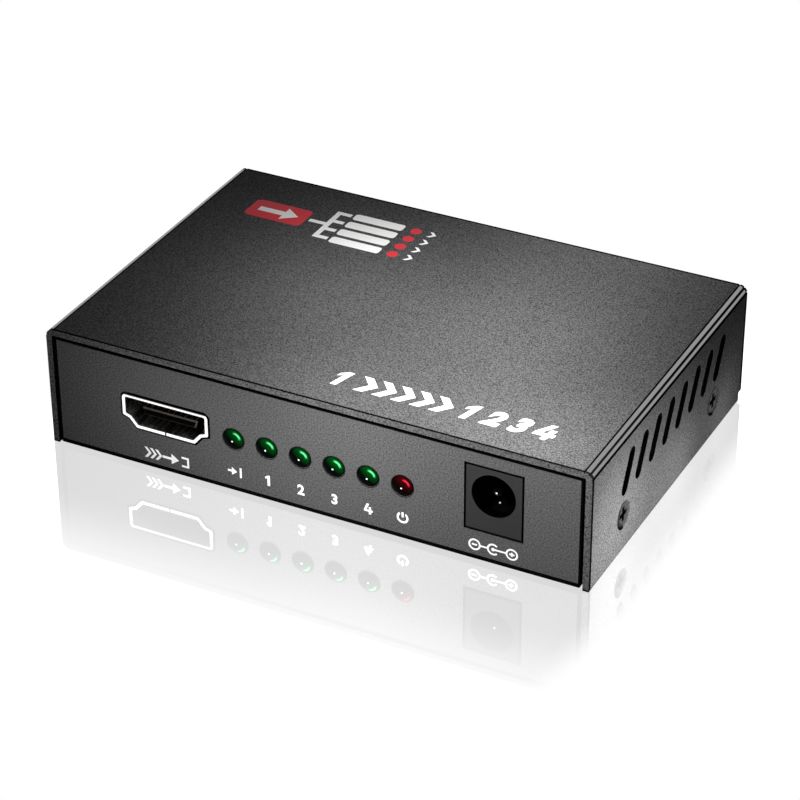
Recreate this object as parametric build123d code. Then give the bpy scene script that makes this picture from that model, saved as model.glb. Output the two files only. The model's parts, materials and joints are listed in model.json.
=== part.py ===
from build123d import *
import math
import os

# A one to four video splitter in a folded steel case, in millimetres. The origin lies on the
# floor under the middle of the case: +X is to the right of someone facing the front panel,
# +Y points to the rear and +Z up.

# Case: a folded cover screwed over a folded tray
case_width = 91.0
case_depth = 60.0
cover_sheet = 1.0
cover_bend_inside = 0.3      # radius inside the two long bends
crease_radius = 0.14         # fine lines that the folding leaves along each bend
crease_angles = (0, 40, 80)  # degrees round the bend, from its upper end
tray_sheet = 1.0
tray_fold_radius = 0.5       # outside the tray's folds, which are sharp inside
relief_width = 1.5           # open corner between a side flange and a panel
flange_edge = 0.9            # sheet left above a screw collar
seam_gap = 0.45              # between the cover and the tray
panel_recess = 0.1           # panels behind the cover's rims
reach = 0.5                  # lamps in front and sockets behind stand past the rims
headroom = 2.9               # over the power jack
foot_notch_depth = 1.1       # cut from the rear foot of each side of the cover
foot_notch_height = 1.4
cut_overrun = 2.0            # how far a cutter runs past what it cuts

# Ventilation slots, alike in both sides, leaning to the rear at the top
vent_width = 2.3
vent_length = 7.5
vent_slant = 26.8            # degrees from upright
vent_pitch = 5.09
vent_count = 8
vent_middle_share = 0.02     # middle of the row behind the case's middle, of its depth
vent_height_share = 0.645    # of the case's height

# Case screws, countersunk, two to a side
case_screw_spacing = 35.2
case_screw_height = 6.1
case_screw_head_radius = 2.05
case_screw_radius = 1.25
case_screw_length = 5.0      # over all, head and point included
case_screw_sink = 0.15       # head below the cover's face
case_screw_point = 0.3       # chamfer at the point
case_screw_cross = 2.6       # tip to tip
case_screw_cross_width = 0.7
case_screw_cross_depth = 0.75
screw_clearance = 0.05       # round a shank in its thread, and under a countersunk head
cover_hole_clearance = 0.1
collar_radius = 2.1
collar_length = 1.2

# Board on four standoffs
board_thickness = 1.6
board_end_gap = 0.5          # to the panels
board_tip_gap = 0.8          # to the points of the case screws
board_corner = 1.0
board_hole_gap = 0.1         # round each lead and leg
solder_tail = 0.8            # how far a lead stands out under the board
standoff_height = 2.9
standoff_radius = 2.75
board_screw_radius = 1.45
board_screw_tip_gap = 0.5    # above the tray
board_screw_head_radius = 2.4
board_screw_head_height = 1.6
board_screw_head_edge = 0.5  # rounding of the head
board_screw_cross = 2.8
board_screw_cross_width = 0.7
board_screw_cross_depth = 0.9
board_screw_hole_gap = 0.15
board_screw_x_share = 0.912  # of the board's half width
board_screw_y_share = 0.34   # of the board's half depth

# Video sockets: a wrapped metal shell round a housing with a tongue and two rows of contacts
mouth_width = 14.0
mouth_height = 4.6
mouth_corner = 0.3
# Half of the mouth, from the top corner to the floor, as shares of half width and height
mouth_shares = ((1, 1), (1, 0.37), (0.865, 0.3), (0.696, 0))
socket_sheet = 0.5
socket_depth = 11.0
socket_lift = 1.25           # of the shell above the board
socket_proud = 0.1           # input socket in front of its panel
socket_panel_gap = 0.35
socket_seam = 0.15           # where the shell's sheet meets itself, under the mouth
socket_leg_width = 1.2
socket_leg_inset = 1.5       # behind the front of the housing's base
socket_leg_rear_inset = 2.2  # ahead of the shell's rear edge
finger_width = 1.6           # spring fingers slit out of the shell's top
finger_length = 4.5
finger_slit = 0.3
finger_front = 1.8
finger_count = 2
finger_spacing = 6.0
housing_gap = 0.1            # inside the shell and its legs
housing_wall = 1.6           # behind the shell
tongue_front = 1.4           # behind the mouth
tongue_root = 6.0
tongue_thickness = 1.3
tongue_top_width = 9.8
tongue_taper = 0.45          # narrower at each side underneath
tongue_nose = 0.2            # chamfer round its front edge
tongue_height_share = 0.55   # its top, of the mouth's height
contact_width = 0.3
contact_thickness = 0.2
contact_pitch = 1.0
contact_counts = (10, 9)     # above and below the tongue
contact_proud = 0.05
contact_gap = 0.03
contact_tip = 0.4            # behind the tongue's front edge
contact_foot = 1.2
input_x_share = -0.2736      # of the case's width
output_pitch_share = 0.22
output_count = 4

# Lamps, each in a right-angle holder
lamp_radius = 1.6
lamp_length = 5.3
lamp_flange_radius = 1.9
lamp_flange_length = 1.0
lamp_rise = 4.0              # axis above the board
lamp_panel_gap = 0.2
lamp_holder_width = 4.0
lamp_holder_back = 2.0
lamp_holder_front = 2.0
lamp_holder_edge = 0.1       # above the lamp's flange
lamp_seat_gap = 0.05
lamp_lead = 0.5              # square wire
lamp_lead_spacing = 2.54
lamp_pitch_share = 0.0625    # of the case's width
lamp_middle_share = 0.0134
lamp_names = ("input", "output_1", "output_2", "output_3", "output_4", "power")

# Power jack
jack_width = 9.0
jack_height = 10.9
jack_depth = 13.7
jack_flange = 3.5            # full-height block behind the face
jack_bore_radius = 3.55
jack_bore_height = 6.5
jack_bore_depth = 9.8
jack_barrel_wall = 0.85
jack_proud = 0.1
jack_panel_gap = 0.3
jack_x_share = 0.332
jack_pin_radius = 1.0
jack_pin_recess = 1.0
jack_pin_nose = 0.8          # rounding of its tip
jack_pin_root_radius = 1.3   # inside the wall behind the bore
jack_pin_gap = 0.05
jack_blade_thickness = 0.6
jack_pin_blade_width = 2.5
jack_pin_blade_top = 1.5     # above the bore's axis
jack_leaf_width = 3.0
jack_leaf_thickness = 0.4
jack_leaf_front = 2.6        # behind the face
jack_leaf_hump = 4.2         # behind the face, where a plug presses
jack_leaf_reach = 0.95       # hump above the bore's floor
jack_leaf_sunk = 0.7         # root below the bore's floor
jack_leaf_root_gap = 0.6     # to the end of the bore
jack_leaf_play = 0.1         # over its terminal
jack_channel_width = 3.8
jack_channel_front = 1.8
jack_channel_floor = 1.2
jack_terminal_width = 2.2
jack_switch_share = 0.5      # place of the side terminal, of the jack's depth
jack_switch_top = 5.0

# Electronics, placed across the board by shares of its width and from front to rear one
# package after another, behind or ahead of the sockets, the jack and the lamps
package_gap = 0.6            # between neighbours
chip_lift = 0.1              # package above the board
lead_sheet = 0.15
lead_shoulder = 0.35
lead_foot = 1.0
splitter_side = 14.0
splitter_height = 1.4
splitter_lead_count = 20
splitter_lead_pitch = 0.65
splitter_lead_width = 0.3
splitter_x_share = 0.04
pad_side = 12.0
pad_thickness = 0.5
sink_side = 16.0
sink_base = 1.5
sink_fin_height = 5.0
sink_fin_thickness = 0.8
sink_fin_count = 7
controller_side = 7.0
controller_height = 1.4
controller_lead_count = 8
controller_lead_pitch = 0.8
controller_lead_width = 0.35
controller_x_share = -0.25
memory_width = 4.9
memory_depth = 3.9
memory_height = 1.4
memory_lead_count = 4
memory_lead_pitch = 1.27
memory_lead_width = 0.4
memory_x_shares = (-0.4, -0.27)
surge_side = 3.0
surge_height = 0.7
surge_count = 2              # behind each video socket
surge_spacing = 4.0
surge_gap = 1.0              # behind the contacts' feet
regulator_width = 3.5
regulator_depth = 6.5
regulator_height = 1.6
regulator_lead_count = 3
regulator_lead_pitch = 2.3
regulator_lead_width = 0.7
regulator_tab_width = 3.0
regulator_x_shares = (0.355, 0.24)
step_down_width = 1.6
step_down_depth = 2.9
step_down_height = 1.1
step_down_lead_count = 3
step_down_lead_pitch = 0.95
step_down_lead_width = 0.4
step_down_x_share = 0.37
inductor_side = 6.0
inductor_height = 3.0
inductor_corner = 0.8
inductor_x_share = 0.37
can_radius = 3.15
can_height = 7.0
can_edge = 0.4
can_base_rim = 0.15          # base beyond the can
can_base_height = 0.9
can_base_corner = 1.4
can_count = 2
can_x_share = 0.24
crystal_length = 11.0
crystal_width = 4.6
crystal_height = 3.5
crystal_rim = 0.4
crystal_rim_height = 0.5
crystal_x_share = -0.14
fuse_length = 4.5
fuse_width = 3.2
fuse_height = 0.8
fuse_x_share = 0.02
diode_length = 4.3
diode_width = 2.6
diode_height = 2.0
diode_lead_width = 1.4
diode_x_share = 0.16
passive_length = 1.6
passive_width = 0.8
capacitor_height = 0.8
resistor_height = 0.45
capacitor_pitch = 2.2
capacitor_count = 7
capacitor_column_count = 2   # left of the splitter chip's leads
resistor_row_gap = 1.2       # behind the lamps' leads

# Heights and places that follow from the sizes above
board_under = tray_sheet + standoff_height
board_top = board_under + board_thickness
case_height = board_top + jack_height + headroom + cover_sheet
front_rim = -case_depth / 2
rear_rim = case_depth / 2
front_panel = front_rim + panel_recess
rear_panel = rear_rim - panel_recess
cover_bend = cover_bend_inside + cover_sheet
tray_width = case_width - 2 * (cover_sheet + seam_gap)
panel_top = case_height - cover_sheet - seam_gap
flange_top = case_screw_height + collar_radius + flange_edge
case_screw_face = case_width / 2 - case_screw_sink
board_width = 2 * (case_screw_face - case_screw_length - board_tip_gap)
board_depth = 2 * (rear_panel - tray_sheet - board_end_gap)
board_screw_length = board_thickness + standoff_height - board_screw_tip_gap
tail = board_thickness + solder_tail
shell_height = mouth_height + 2 * socket_sheet
# The base clears the rear panel, through which the output sockets reach furthest
housing_base_front = reach + panel_recess + tray_sheet + board_end_gap
socket_leg_places = (housing_base_front + socket_leg_inset, socket_depth - socket_leg_rear_inset)
contact_drop = socket_depth + housing_wall + contact_thickness
input_x = case_width * input_x_share
input_y = front_panel - socket_proud
output_y = rear_rim + reach
lamp_tip = front_rim - reach
lamp_back = lamp_tip + lamp_length
lamp_lead_y = lamp_back + lamp_holder_back + lamp_lead
lamp_z = board_top + lamp_rise
jack_x = case_width * jack_x_share
jack_y = front_panel - jack_proud
can_base_side = 2 * (can_radius + can_base_rim)
surge_behind = contact_drop + contact_foot + surge_gap


# Solids from limits, and round bars along each axis

def block(x_low, x_high, y_low, y_high, z_low, z_high):
    middle = Pos((x_low + x_high) / 2, (y_low + y_high) / 2, (z_low + z_high) / 2)
    return middle * Box(x_high - x_low, y_high - y_low, z_high - z_low)


def bar_x(radius, x_low, x_high, y, z):
    return Pos((x_low + x_high) / 2, y, z) * Rot(0, 90, 0) * Cylinder(radius, x_high - x_low)


def bar_y(radius, x, y_low, y_high, z):
    return Pos(x, (y_low + y_high) / 2, z) * Rot(90, 0, 0) * Cylinder(radius, y_high - y_low)


def bar_z(radius, x, y, z_low, z_high):
    return Pos(x, y, (z_low + z_high) / 2) * Cylinder(radius, z_high - z_low)


def outline(points):
    return make_face(Polyline(*points, close=True))


def along_x(face, x_low, x_high):
    # The face is drawn in Y and Z
    return extrude(Plane.YZ.offset(x_low) * face, amount=x_high - x_low)


def along_y(face, y_low, y_high):
    # The face is drawn in X and Z
    return extrude(Plane.XZ.offset(-y_low) * face, amount=y_low - y_high)


def group(solids):
    return Compound(children=[solid for shape in solids for solid in shape.solids()])


def spread(count, pitch):
    return [(i - (count - 1) / 2) * pitch for i in range(count)]


def on_board(x_share, y):
    return Pos(x_share * board_width, y, board_top)


def column(front, depths):
    # Middle of each of several packages, one behind another
    middles = []
    for depth in depths:
        middles.append(front + depth / 2)
        front += depth + package_gap
    return middles


# Places of the packages from front to rear
behind_lamps = lamp_lead_y + resistor_row_gap + passive_length + package_gap
behind_jack = jack_y + jack_depth + jack_blade_thickness + package_gap
behind_input = input_y + surge_behind + surge_side + package_gap
ahead_of_outputs = output_y - surge_behind - surge_side - package_gap
splitter_y = ahead_of_outputs - lead_foot - splitter_side / 2
inductor_y, step_down_y, outer_regulator_y = column(
    behind_jack, (inductor_side, step_down_depth, regulator_depth))
*can_ys, inner_regulator_y = column(behind_jack, (can_base_side,) * can_count + (regulator_depth,))
controller_y, inner_memory_y = column(behind_input, (controller_side + 2 * lead_foot, memory_width))
crystal_y = behind_lamps + (crystal_width + crystal_rim) / 2
fuse_y = behind_lamps + fuse_width / 2
diode_y = behind_lamps + diode_width / 2
regulator_places = list(zip(regulator_x_shares, (outer_regulator_y, inner_regulator_y)))
memory_places = list(zip(memory_x_shares, (0, inner_memory_y)))


# Case

def case_screw_places():
    return [(side, y) for side in (1, -1) for y in (-case_screw_spacing / 2, case_screw_spacing / 2)]


def on_side(shape, side):
    # Made for the right-hand side of the case
    return shape if side > 0 else mirror(shape, about=Plane.YZ)


def countersink(y):
    face = case_width / 2
    hole = case_screw_radius + cover_hole_clearance
    wide = case_screw_head_radius + case_screw_sink + screw_clearance
    top = wide + cut_overrun
    depth = wide - hole
    cone = Rot(0, 90, 0) * Cone(hole, top, depth + cut_overrun)
    through = bar_x(hole, face - cover_sheet - cut_overrun, face, y, case_screw_height)
    return Pos(face + (cut_overrun - depth) / 2, y, case_screw_height) * cone + through


def top_cover():
    half = case_width / 2
    outside = block(-half, half, front_rim, rear_rim, 0, case_height)
    outside = fillet(outside.edges().filter_by(Axis.Y).group_by(Axis.Z)[-1], cover_bend)
    inner = half - cover_sheet
    inside = block(-inner, inner, front_rim - cut_overrun, rear_rim + cut_overrun,
                   -cut_overrun, case_height - cover_sheet)
    inside = fillet(inside.edges().filter_by(Axis.Y).group_by(Axis.Z)[-1], cover_bend_inside)
    cover = outside - inside
    for side in (1, -1):
        for angle in crease_angles:
            x = half - cover_bend + cover_bend * math.sin(math.radians(angle))
            z = case_height - cover_bend + cover_bend * math.cos(math.radians(angle))
            cover -= bar_y(crease_radius, side * x, front_rim - cut_overrun, rear_rim + cut_overrun, z)
    slot = Rot(0, 0, 90 - vent_slant) * SlotOverall(vent_length, vent_width)
    vent_z = case_height * vent_height_share
    for y in spread(vent_count, vent_pitch):
        place = Pos(y + case_depth * vent_middle_share, vent_z)
        cover -= extrude(Plane.YZ * place * slot, amount=half + cut_overrun, both=True)
    for side, y in case_screw_places():
        cover -= on_side(countersink(y), side)
    cover -= block(-half - cut_overrun, half + cut_overrun, rear_rim - foot_notch_depth,
                   rear_rim + cut_overrun, -cut_overrun, foot_notch_height)
    return cover


def base_tray():
    half = tray_width / 2
    inner = half - tray_sheet
    tub = block(-half, half, front_panel, rear_panel, 0, panel_top)
    fold = min(tray_fold_radius, tray_sheet)
    tub = fillet(tub.edges().group_by(Axis.Z)[0], fold)
    tray = tub - block(-inner, inner, front_panel + tray_sheet, rear_panel - tray_sheet,
                       tray_sheet, panel_top + cut_overrun)
    tray -= block(-half - cut_overrun, half + cut_overrun, front_panel + tray_sheet,
                  rear_panel - tray_sheet, flange_top, panel_top + cut_overrun)
    for x_low, x_high in ((inner, half + cut_overrun), (-half - cut_overrun, -inner)):
        for y in (front_panel + tray_sheet, rear_panel - tray_sheet - relief_width):
            tray -= block(x_low, x_high, y, y + relief_width, tray_sheet, flange_top + cut_overrun)
    for side, y in case_screw_places():
        collar = bar_x(collar_radius, inner - collar_length, inner, y, case_screw_height)
        thread = bar_x(case_screw_radius + screw_clearance, inner - collar_length - cut_overrun,
                       half + cut_overrun, y, case_screw_height)
        tray = tray + on_side(collar, side) - on_side(thread, side)
    for cutter in front_cutters() + rear_cutters():
        tray -= cutter
    return tray


def front_cutters():
    low, high = front_panel - cut_overrun, front_panel + tray_sheet + cut_overrun
    socket = Pos(input_x, 0, board_top) * along_y(socket_outline(socket_sheet + socket_panel_gap), low, high)
    lamps = [bar_y(lamp_radius + lamp_panel_gap, x, low, high, lamp_z) for x in lamp_places()]
    side = jack_width / 2 + jack_panel_gap
    jack = block(jack_x - side, jack_x + side, low, high,
                 board_top - jack_panel_gap, board_top + jack_height + jack_panel_gap)
    return [socket, *lamps, jack]


def rear_cutters():
    low, high = rear_panel - tray_sheet - cut_overrun, rear_panel + cut_overrun
    hole = along_y(socket_outline(socket_sheet + socket_panel_gap), low, high)
    return [Pos(x, 0, board_top) * hole for x in output_places()]


def cross(length, width, depth):
    # A cross recess cut down from the XY plane
    arm = Pos(0, 0, -depth / 2) * Box(length, width, depth)
    return arm + Rot(0, 0, 90) * arm


def case_screw(y):
    head = case_screw_head_radius - case_screw_radius
    cone = Pos(0, 0, -head / 2) * Cone(case_screw_radius, case_screw_head_radius, head)
    shank = bar_z(case_screw_radius, 0, 0, -case_screw_length, -head)
    shank = chamfer(shank.edges().sort_by(Axis.Z)[0], case_screw_point)
    screw = cone + shank - cross(case_screw_cross, case_screw_cross_width, case_screw_cross_depth)
    return Pos(case_screw_face, y, case_screw_height) * Rot(0, 90, 0) * screw


# Board, standoffs and screws

def board_screw_places():
    x = board_width / 2 * board_screw_x_share
    y = board_depth / 2 * board_screw_y_share
    return [(sx * x, sy * y) for sx in (-1, 1) for sy in (-1, 1)]


def circuit_board():
    half_x, half_y = board_width / 2, board_depth / 2
    board = block(-half_x, half_x, -half_y, half_y, board_under, board_top)
    board = fillet(board.edges().filter_by(Axis.Z), board_corner)
    hole = board_screw_radius + board_screw_hole_gap
    cutters = [bar_z(hole, x, y, board_under - cut_overrun, board_top + cut_overrun)
               for x, y in board_screw_places()]
    wire = math.hypot(lamp_lead, lamp_lead) / 2 + board_hole_gap
    for x in lamp_places():
        for side in (-1, 1):
            cutters.append(bar_z(wire, x + side * lamp_lead_spacing / 2, lamp_lead_y - lamp_lead / 2,
                                 board_under - cut_overrun, board_top + cut_overrun))
    low, high = -board_thickness - cut_overrun, cut_overrun
    for place in socket_placings().values():
        for x_low, x_high, y_low, y_high in socket_leg_limits(board_hole_gap):
            cutters.append(place * block(x_low, x_high, y_low, y_high, low, high))
    for x_low, x_high, y_low, y_high in jack_blade_limits(board_hole_gap):
        cutters.append(Pos(jack_x, jack_y, board_top) * block(x_low, x_high, y_low, y_high, low, high))
    return board - cutters


def board_standoffs():
    bore = board_screw_radius + screw_clearance
    return group([bar_z(standoff_radius, x, y, tray_sheet, board_under)
                  - bar_z(bore, x, y, tray_sheet - cut_overrun, board_under + cut_overrun)
                  for x, y in board_screw_places()])


def board_screws():
    head = bar_z(board_screw_head_radius, 0, 0, 0, board_screw_head_height)
    head = fillet(head.edges().sort_by(Axis.Z)[-1], board_screw_head_edge)
    recess = cross(board_screw_cross, board_screw_cross_width, board_screw_cross_depth)
    screw = head + bar_z(board_screw_radius, 0, 0, -board_screw_length, 0)
    screw -= Pos(0, 0, board_screw_head_height) * recess
    return group([Pos(x, y, board_top) * screw for x, y in board_screw_places()])


# Video sockets, drawn with the mouth at Y = 0, the board's top at Z = 0 and the inside towards +Y

def output_places():
    # Numbered from the left of someone facing the rear panel
    return list(reversed(spread(output_count, case_width * output_pitch_share)))


def socket_placings():
    placings = {"input_socket": Location((input_x, input_y, board_top))}
    for number, x in enumerate(output_places(), start=1):
        placings[f"output_{number}_socket"] = Location((x, output_y, board_top), (0, 0, 180))
    return placings


def socket_outline(grow):
    half, floor = mouth_width / 2, socket_lift + socket_sheet
    right = [(share_x * half, floor + share_z * mouth_height) for share_x, share_z in mouth_shares]
    left = [(-x, z) for x, z in reversed(right)]
    face = outline(right + left)
    if grow:
        face = offset(face, grow, kind=Kind.INTERSECTION)
    levels = face.vertices().group_by(Axis.Y)
    lower = [vertex for level in levels[:-1] for vertex in level]
    face = fillet(lower, mouth_corner)
    top = face.vertices().group_by(Axis.Y)[-1]
    return fillet(top, mouth_corner + max(grow, 0))


def socket_leg_limits(gap):
    outer = mouth_width / 2 + socket_sheet
    limits = []
    for y in socket_leg_places:
        y_low, y_high = y - socket_leg_width / 2 - gap, y + socket_leg_width / 2 + gap
        limits.append((outer - socket_sheet - gap, outer + gap, y_low, y_high))
        limits.append((-outer - gap, socket_sheet - outer + gap, y_low, y_high))
    return limits


def socket_shell():
    ring = socket_outline(socket_sheet) - socket_outline(0)
    shell = along_y(ring, 0, socket_depth)
    top = socket_lift + shell_height
    shell -= block(-socket_seam / 2, socket_seam / 2, -cut_overrun, socket_depth + cut_overrun,
                   socket_lift - cut_overrun, socket_lift + socket_sheet + mouth_corner)
    for x_low, x_high, y_low, y_high in socket_leg_limits(0):
        shell += block(x_low, x_high, y_low, y_high, -tail, socket_lift + shell_height / 2)
    for x in spread(finger_count, finger_spacing):
        half = finger_width / 2
        slit = block(x - half - finger_slit, x + half + finger_slit, finger_front,
                     finger_front + finger_length, top - socket_sheet - finger_slit, top + cut_overrun)
        finger = block(x - half, x + half, finger_front + finger_slit,
                       finger_front + finger_length + cut_overrun, top - socket_sheet - cut_overrun,
                       top + cut_overrun)
        shell -= slit - finger
    return shell


def tongue_levels():
    high = socket_lift + socket_sheet + mouth_height * tongue_height_share
    return high, high - tongue_thickness


def contact_levels():
    # Middle height of the strips above and below the tongue
    high, low = tongue_levels()
    inset = contact_thickness / 2 - contact_proud
    return high - inset, low + inset


def socket_housing():
    high, low = tongue_levels()
    half_top = tongue_top_width / 2
    half_low = half_top - tongue_taper
    rear = socket_depth + housing_wall
    half = mouth_width / 2 - housing_gap
    tongue = along_y(outline([(-half_top, high), (half_top, high), (half_low, low), (-half_low, low)]),
                     tongue_front, tongue_root)
    tongue = chamfer(tongue.faces().sort_by(Axis.Y)[0].edges(), tongue_nose)
    housing = tongue + along_y(socket_outline(-housing_gap), tongue_root, socket_depth)
    top = socket_lift + socket_sheet + mouth_height - housing_gap
    housing += block(-half, half, socket_depth, rear, 0, top)
    housing += block(-half, half, housing_base_front, rear, 0, socket_lift)
    for count, level in zip(contact_counts, contact_levels()):
        for x in spread(count, contact_pitch):
            half_slot = contact_width / 2 + contact_gap
            half_height = contact_thickness / 2 + contact_gap
            housing -= block(x - half_slot, x + half_slot, tongue_front + contact_tip - contact_gap,
                             rear + cut_overrun, level - half_height, level + half_height)
    return housing


def socket_contacts():
    strips = []
    t = contact_thickness
    front = tongue_front + contact_tip
    for count, level in zip(contact_counts, contact_levels()):
        high, low = level + t / 2, level - t / 2
        side = outline([(front, high), (contact_drop + t, high), (contact_drop + t, t),
                        (contact_drop + contact_foot, t), (contact_drop + contact_foot, 0),
                        (contact_drop, 0), (contact_drop, low), (front, low)])
        for x in spread(count, contact_pitch):
            strips.append(along_x(side, x - contact_width / 2, x + contact_width / 2))
    return strips


# Lamps

def lamp_places():
    row = spread(len(lamp_names), case_width * lamp_pitch_share)
    return [x + case_width * lamp_middle_share for x in row]


def lamp(x):
    # Half of the lens, drawn from its axis outwards and turned round it
    r, wide = lamp_radius, lamp_flange_radius
    shoulder = lamp_tip + r
    flange = lamp_back - lamp_flange_length
    dome = RadiusArc((0, lamp_tip), (r, shoulder), -r)
    rest = Polyline((r, shoulder), (r, flange), (wide, flange), (wide, lamp_back), (0, lamp_back),
                    (0, lamp_tip))
    return Pos(x, 0, lamp_z) * revolve(make_face(dome + rest), Axis.Y)


def lamp_holders():
    half = lamp_holder_width / 2
    holders = []
    for x in lamp_places():
        seat = lamp_z - lamp_flange_radius - lamp_seat_gap
        holder = block(x - half, x + half, lamp_back, lamp_back + lamp_holder_back, board_top,
                       lamp_z + lamp_flange_radius + lamp_holder_edge)
        holder += block(x - half, x + half, lamp_back - lamp_holder_front, lamp_back, board_top, seat)
        for side in (-1, 1):
            wire = math.hypot(lamp_lead, lamp_lead) / 2 + board_hole_gap
            holder -= bar_y(wire, x + side * lamp_lead_spacing / 2, lamp_back - cut_overrun,
                            lamp_back + lamp_holder_back + cut_overrun, lamp_z)
        holders.append(holder)
    return group(holders)


def lamp_leads():
    half, foot = lamp_lead / 2, board_under - solder_tail
    side = outline([(lamp_back, lamp_z + half), (lamp_lead_y, lamp_z + half), (lamp_lead_y, foot),
                    (lamp_lead_y - lamp_lead, foot), (lamp_lead_y - lamp_lead, lamp_z - half),
                    (lamp_back, lamp_z - half)])
    places = [x + s * lamp_lead_spacing / 2 for x in lamp_places() for s in (-1, 1)]
    return group([along_x(side, x - half, x + half) for x in places])


# Power jack, drawn with its face at Y = 0 and the board's top at Z = 0

def jack_blade_limits(gap):
    pin = jack_pin_blade_width / 2 + gap
    sleeve = jack_terminal_width / 2 + gap
    root = jack_bore_depth - jack_leaf_root_gap
    side = jack_width / 2
    middle = jack_depth * jack_switch_share
    return [(-pin, pin, jack_depth - gap, jack_depth + jack_blade_thickness + gap),
            (-sleeve, sleeve, root - jack_blade_thickness - gap, root + gap),
            (side - gap, side + jack_blade_thickness + gap, middle - sleeve, middle + sleeve)]


def power_jack_body():
    half = jack_width / 2
    body = block(-half, half, 0, jack_flange, 0, jack_height)
    body += block(-half, half, 0, jack_depth, 0, jack_bore_height)
    body += bar_y(jack_bore_radius + jack_barrel_wall, 0, 0, jack_depth, jack_bore_height)
    body -= bar_y(jack_bore_radius, 0, -cut_overrun, jack_bore_depth, jack_bore_height)
    body -= bar_y(jack_pin_root_radius + jack_pin_gap, 0, 0, jack_depth + cut_overrun, jack_bore_height)
    slot = jack_channel_width / 2
    body -= block(-slot, slot, jack_channel_front, jack_bore_depth, jack_channel_floor, jack_bore_height)
    x_low, x_high, y_low, y_high = jack_blade_limits(jack_pin_gap)[1]
    body -= block(x_low, x_high, y_low, y_high, -cut_overrun, jack_bore_height)
    return body


def power_jack_pin():
    pin = bar_y(jack_pin_radius, 0, jack_pin_recess, jack_bore_depth, jack_bore_height)
    pin = fillet(pin.edges().sort_by(Axis.Y)[0], jack_pin_nose)
    pin += bar_y(jack_pin_root_radius, 0, jack_bore_depth, jack_depth, jack_bore_height)
    x_low, x_high, y_low, y_high = jack_blade_limits(0)[0]
    return pin + block(x_low, x_high, y_low, y_high, -tail, jack_bore_height + jack_pin_blade_top)


def jack_leaf_levels():
    # Heights of the leaf's root and of its hump, both at the upper face
    floor = jack_bore_height - jack_bore_radius
    return floor - jack_leaf_sunk, floor + jack_leaf_reach


def power_jack_leaf():
    root, hump = jack_leaf_levels()
    end = jack_bore_depth - jack_leaf_root_gap
    t = jack_leaf_thickness
    side = outline([(end, root), (jack_leaf_hump, hump), (jack_leaf_front, root), (jack_leaf_front, root - t),
                    (jack_leaf_hump, hump - t), (end, root - t)])
    return along_x(side, -jack_leaf_width / 2, jack_leaf_width / 2)


def power_jack_terminals():
    sleeve, switch = jack_blade_limits(0)[1:]
    top = jack_leaf_levels()[0] - jack_leaf_thickness - jack_leaf_play
    return [block(*sleeve, -tail, top), block(*switch, -tail, jack_switch_top)]


# Electronics, each package drawn standing on Z = 0

def side_leads(count, pitch, width, half_body, height):
    # Bent leads along the +X side of a package
    t, middle = lead_sheet, chip_lift + height / 2
    step, foot = half_body + lead_shoulder, half_body + lead_foot
    face = outline([(half_body, middle + t), (step + t, middle + t), (step + t, t), (foot, t), (foot, 0),
                    (step, 0), (step, middle), (half_body, middle)])
    return [along_y(face, y - width / 2, y + width / 2) for y in spread(count, pitch)]


def package(width, depth, height):
    return block(-width / 2, width / 2, -depth / 2, depth / 2, chip_lift, chip_lift + height)


def turned(shapes, angles):
    return [Rot(0, 0, angle) * shape for angle in angles for shape in shapes]


def splitter_chip():
    return on_board(splitter_x_share, splitter_y) * package(splitter_side, splitter_side, splitter_height)


def splitter_chip_leads():
    leads = side_leads(splitter_lead_count, splitter_lead_pitch, splitter_lead_width,
                       splitter_side / 2, splitter_height)
    return group([on_board(splitter_x_share, splitter_y) * lead for lead in turned(leads, (0, 90, 180, 270))])


def thermal_pad():
    half, low = pad_side / 2, chip_lift + splitter_height
    return on_board(splitter_x_share, splitter_y) * block(-half, half, -half, half, low, low + pad_thickness)


def heat_sink():
    half, low = sink_side / 2, chip_lift + splitter_height + pad_thickness
    floor, top = low + sink_base, low + sink_base + sink_fin_height
    sink = block(-half, half, -half, half, low, top)
    groove = (sink_side - sink_fin_count * sink_fin_thickness) / (sink_fin_count - 1)
    for x in spread(sink_fin_count - 1, groove + sink_fin_thickness):
        sink -= block(x - groove / 2, x + groove / 2, -half - cut_overrun, half + cut_overrun,
                      floor, top + cut_overrun)
    return on_board(splitter_x_share, splitter_y) * sink


def controller_chip():
    return on_board(controller_x_share, controller_y) * package(controller_side, controller_side, controller_height)


def controller_chip_leads():
    leads = side_leads(controller_lead_count, controller_lead_pitch, controller_lead_width,
                       controller_side / 2, controller_height)
    return group([on_board(controller_x_share, controller_y) * lead for lead in turned(leads, (0, 90, 180, 270))])


def memory_chips():
    body = package(memory_depth, memory_width, memory_height)
    return group([on_board(*place) * body for place in memory_places])


def memory_chip_leads():
    leads = side_leads(memory_lead_count, memory_lead_pitch, memory_lead_width,
                       memory_depth / 2, memory_height)
    return group([on_board(*place) * lead for place in memory_places
                  for lead in turned(leads, (0, 180))])


def surge_arrays():
    half = surge_side / 2
    body = block(-half, half, surge_behind, surge_behind + surge_side, 0, surge_height)
    return group([place * Pos(x, 0, 0) * body for place in socket_placings().values()
                  for x in spread(surge_count, surge_spacing)])


def voltage_regulators():
    body = package(regulator_width, regulator_depth, regulator_height)
    return group([on_board(*place) * body for place in regulator_places])


def voltage_regulator_leads():
    leads = side_leads(regulator_lead_count, regulator_lead_pitch, regulator_lead_width,
                       regulator_width / 2, regulator_height)
    tab = side_leads(1, 0, regulator_tab_width, regulator_width / 2, regulator_height)
    return group([on_board(*place) * lead for place in regulator_places
                  for lead in leads + turned(tab, (180,))])


def step_down_chip():
    place = on_board(step_down_x_share, step_down_y)
    return place * package(step_down_width, step_down_depth, step_down_height)


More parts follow.
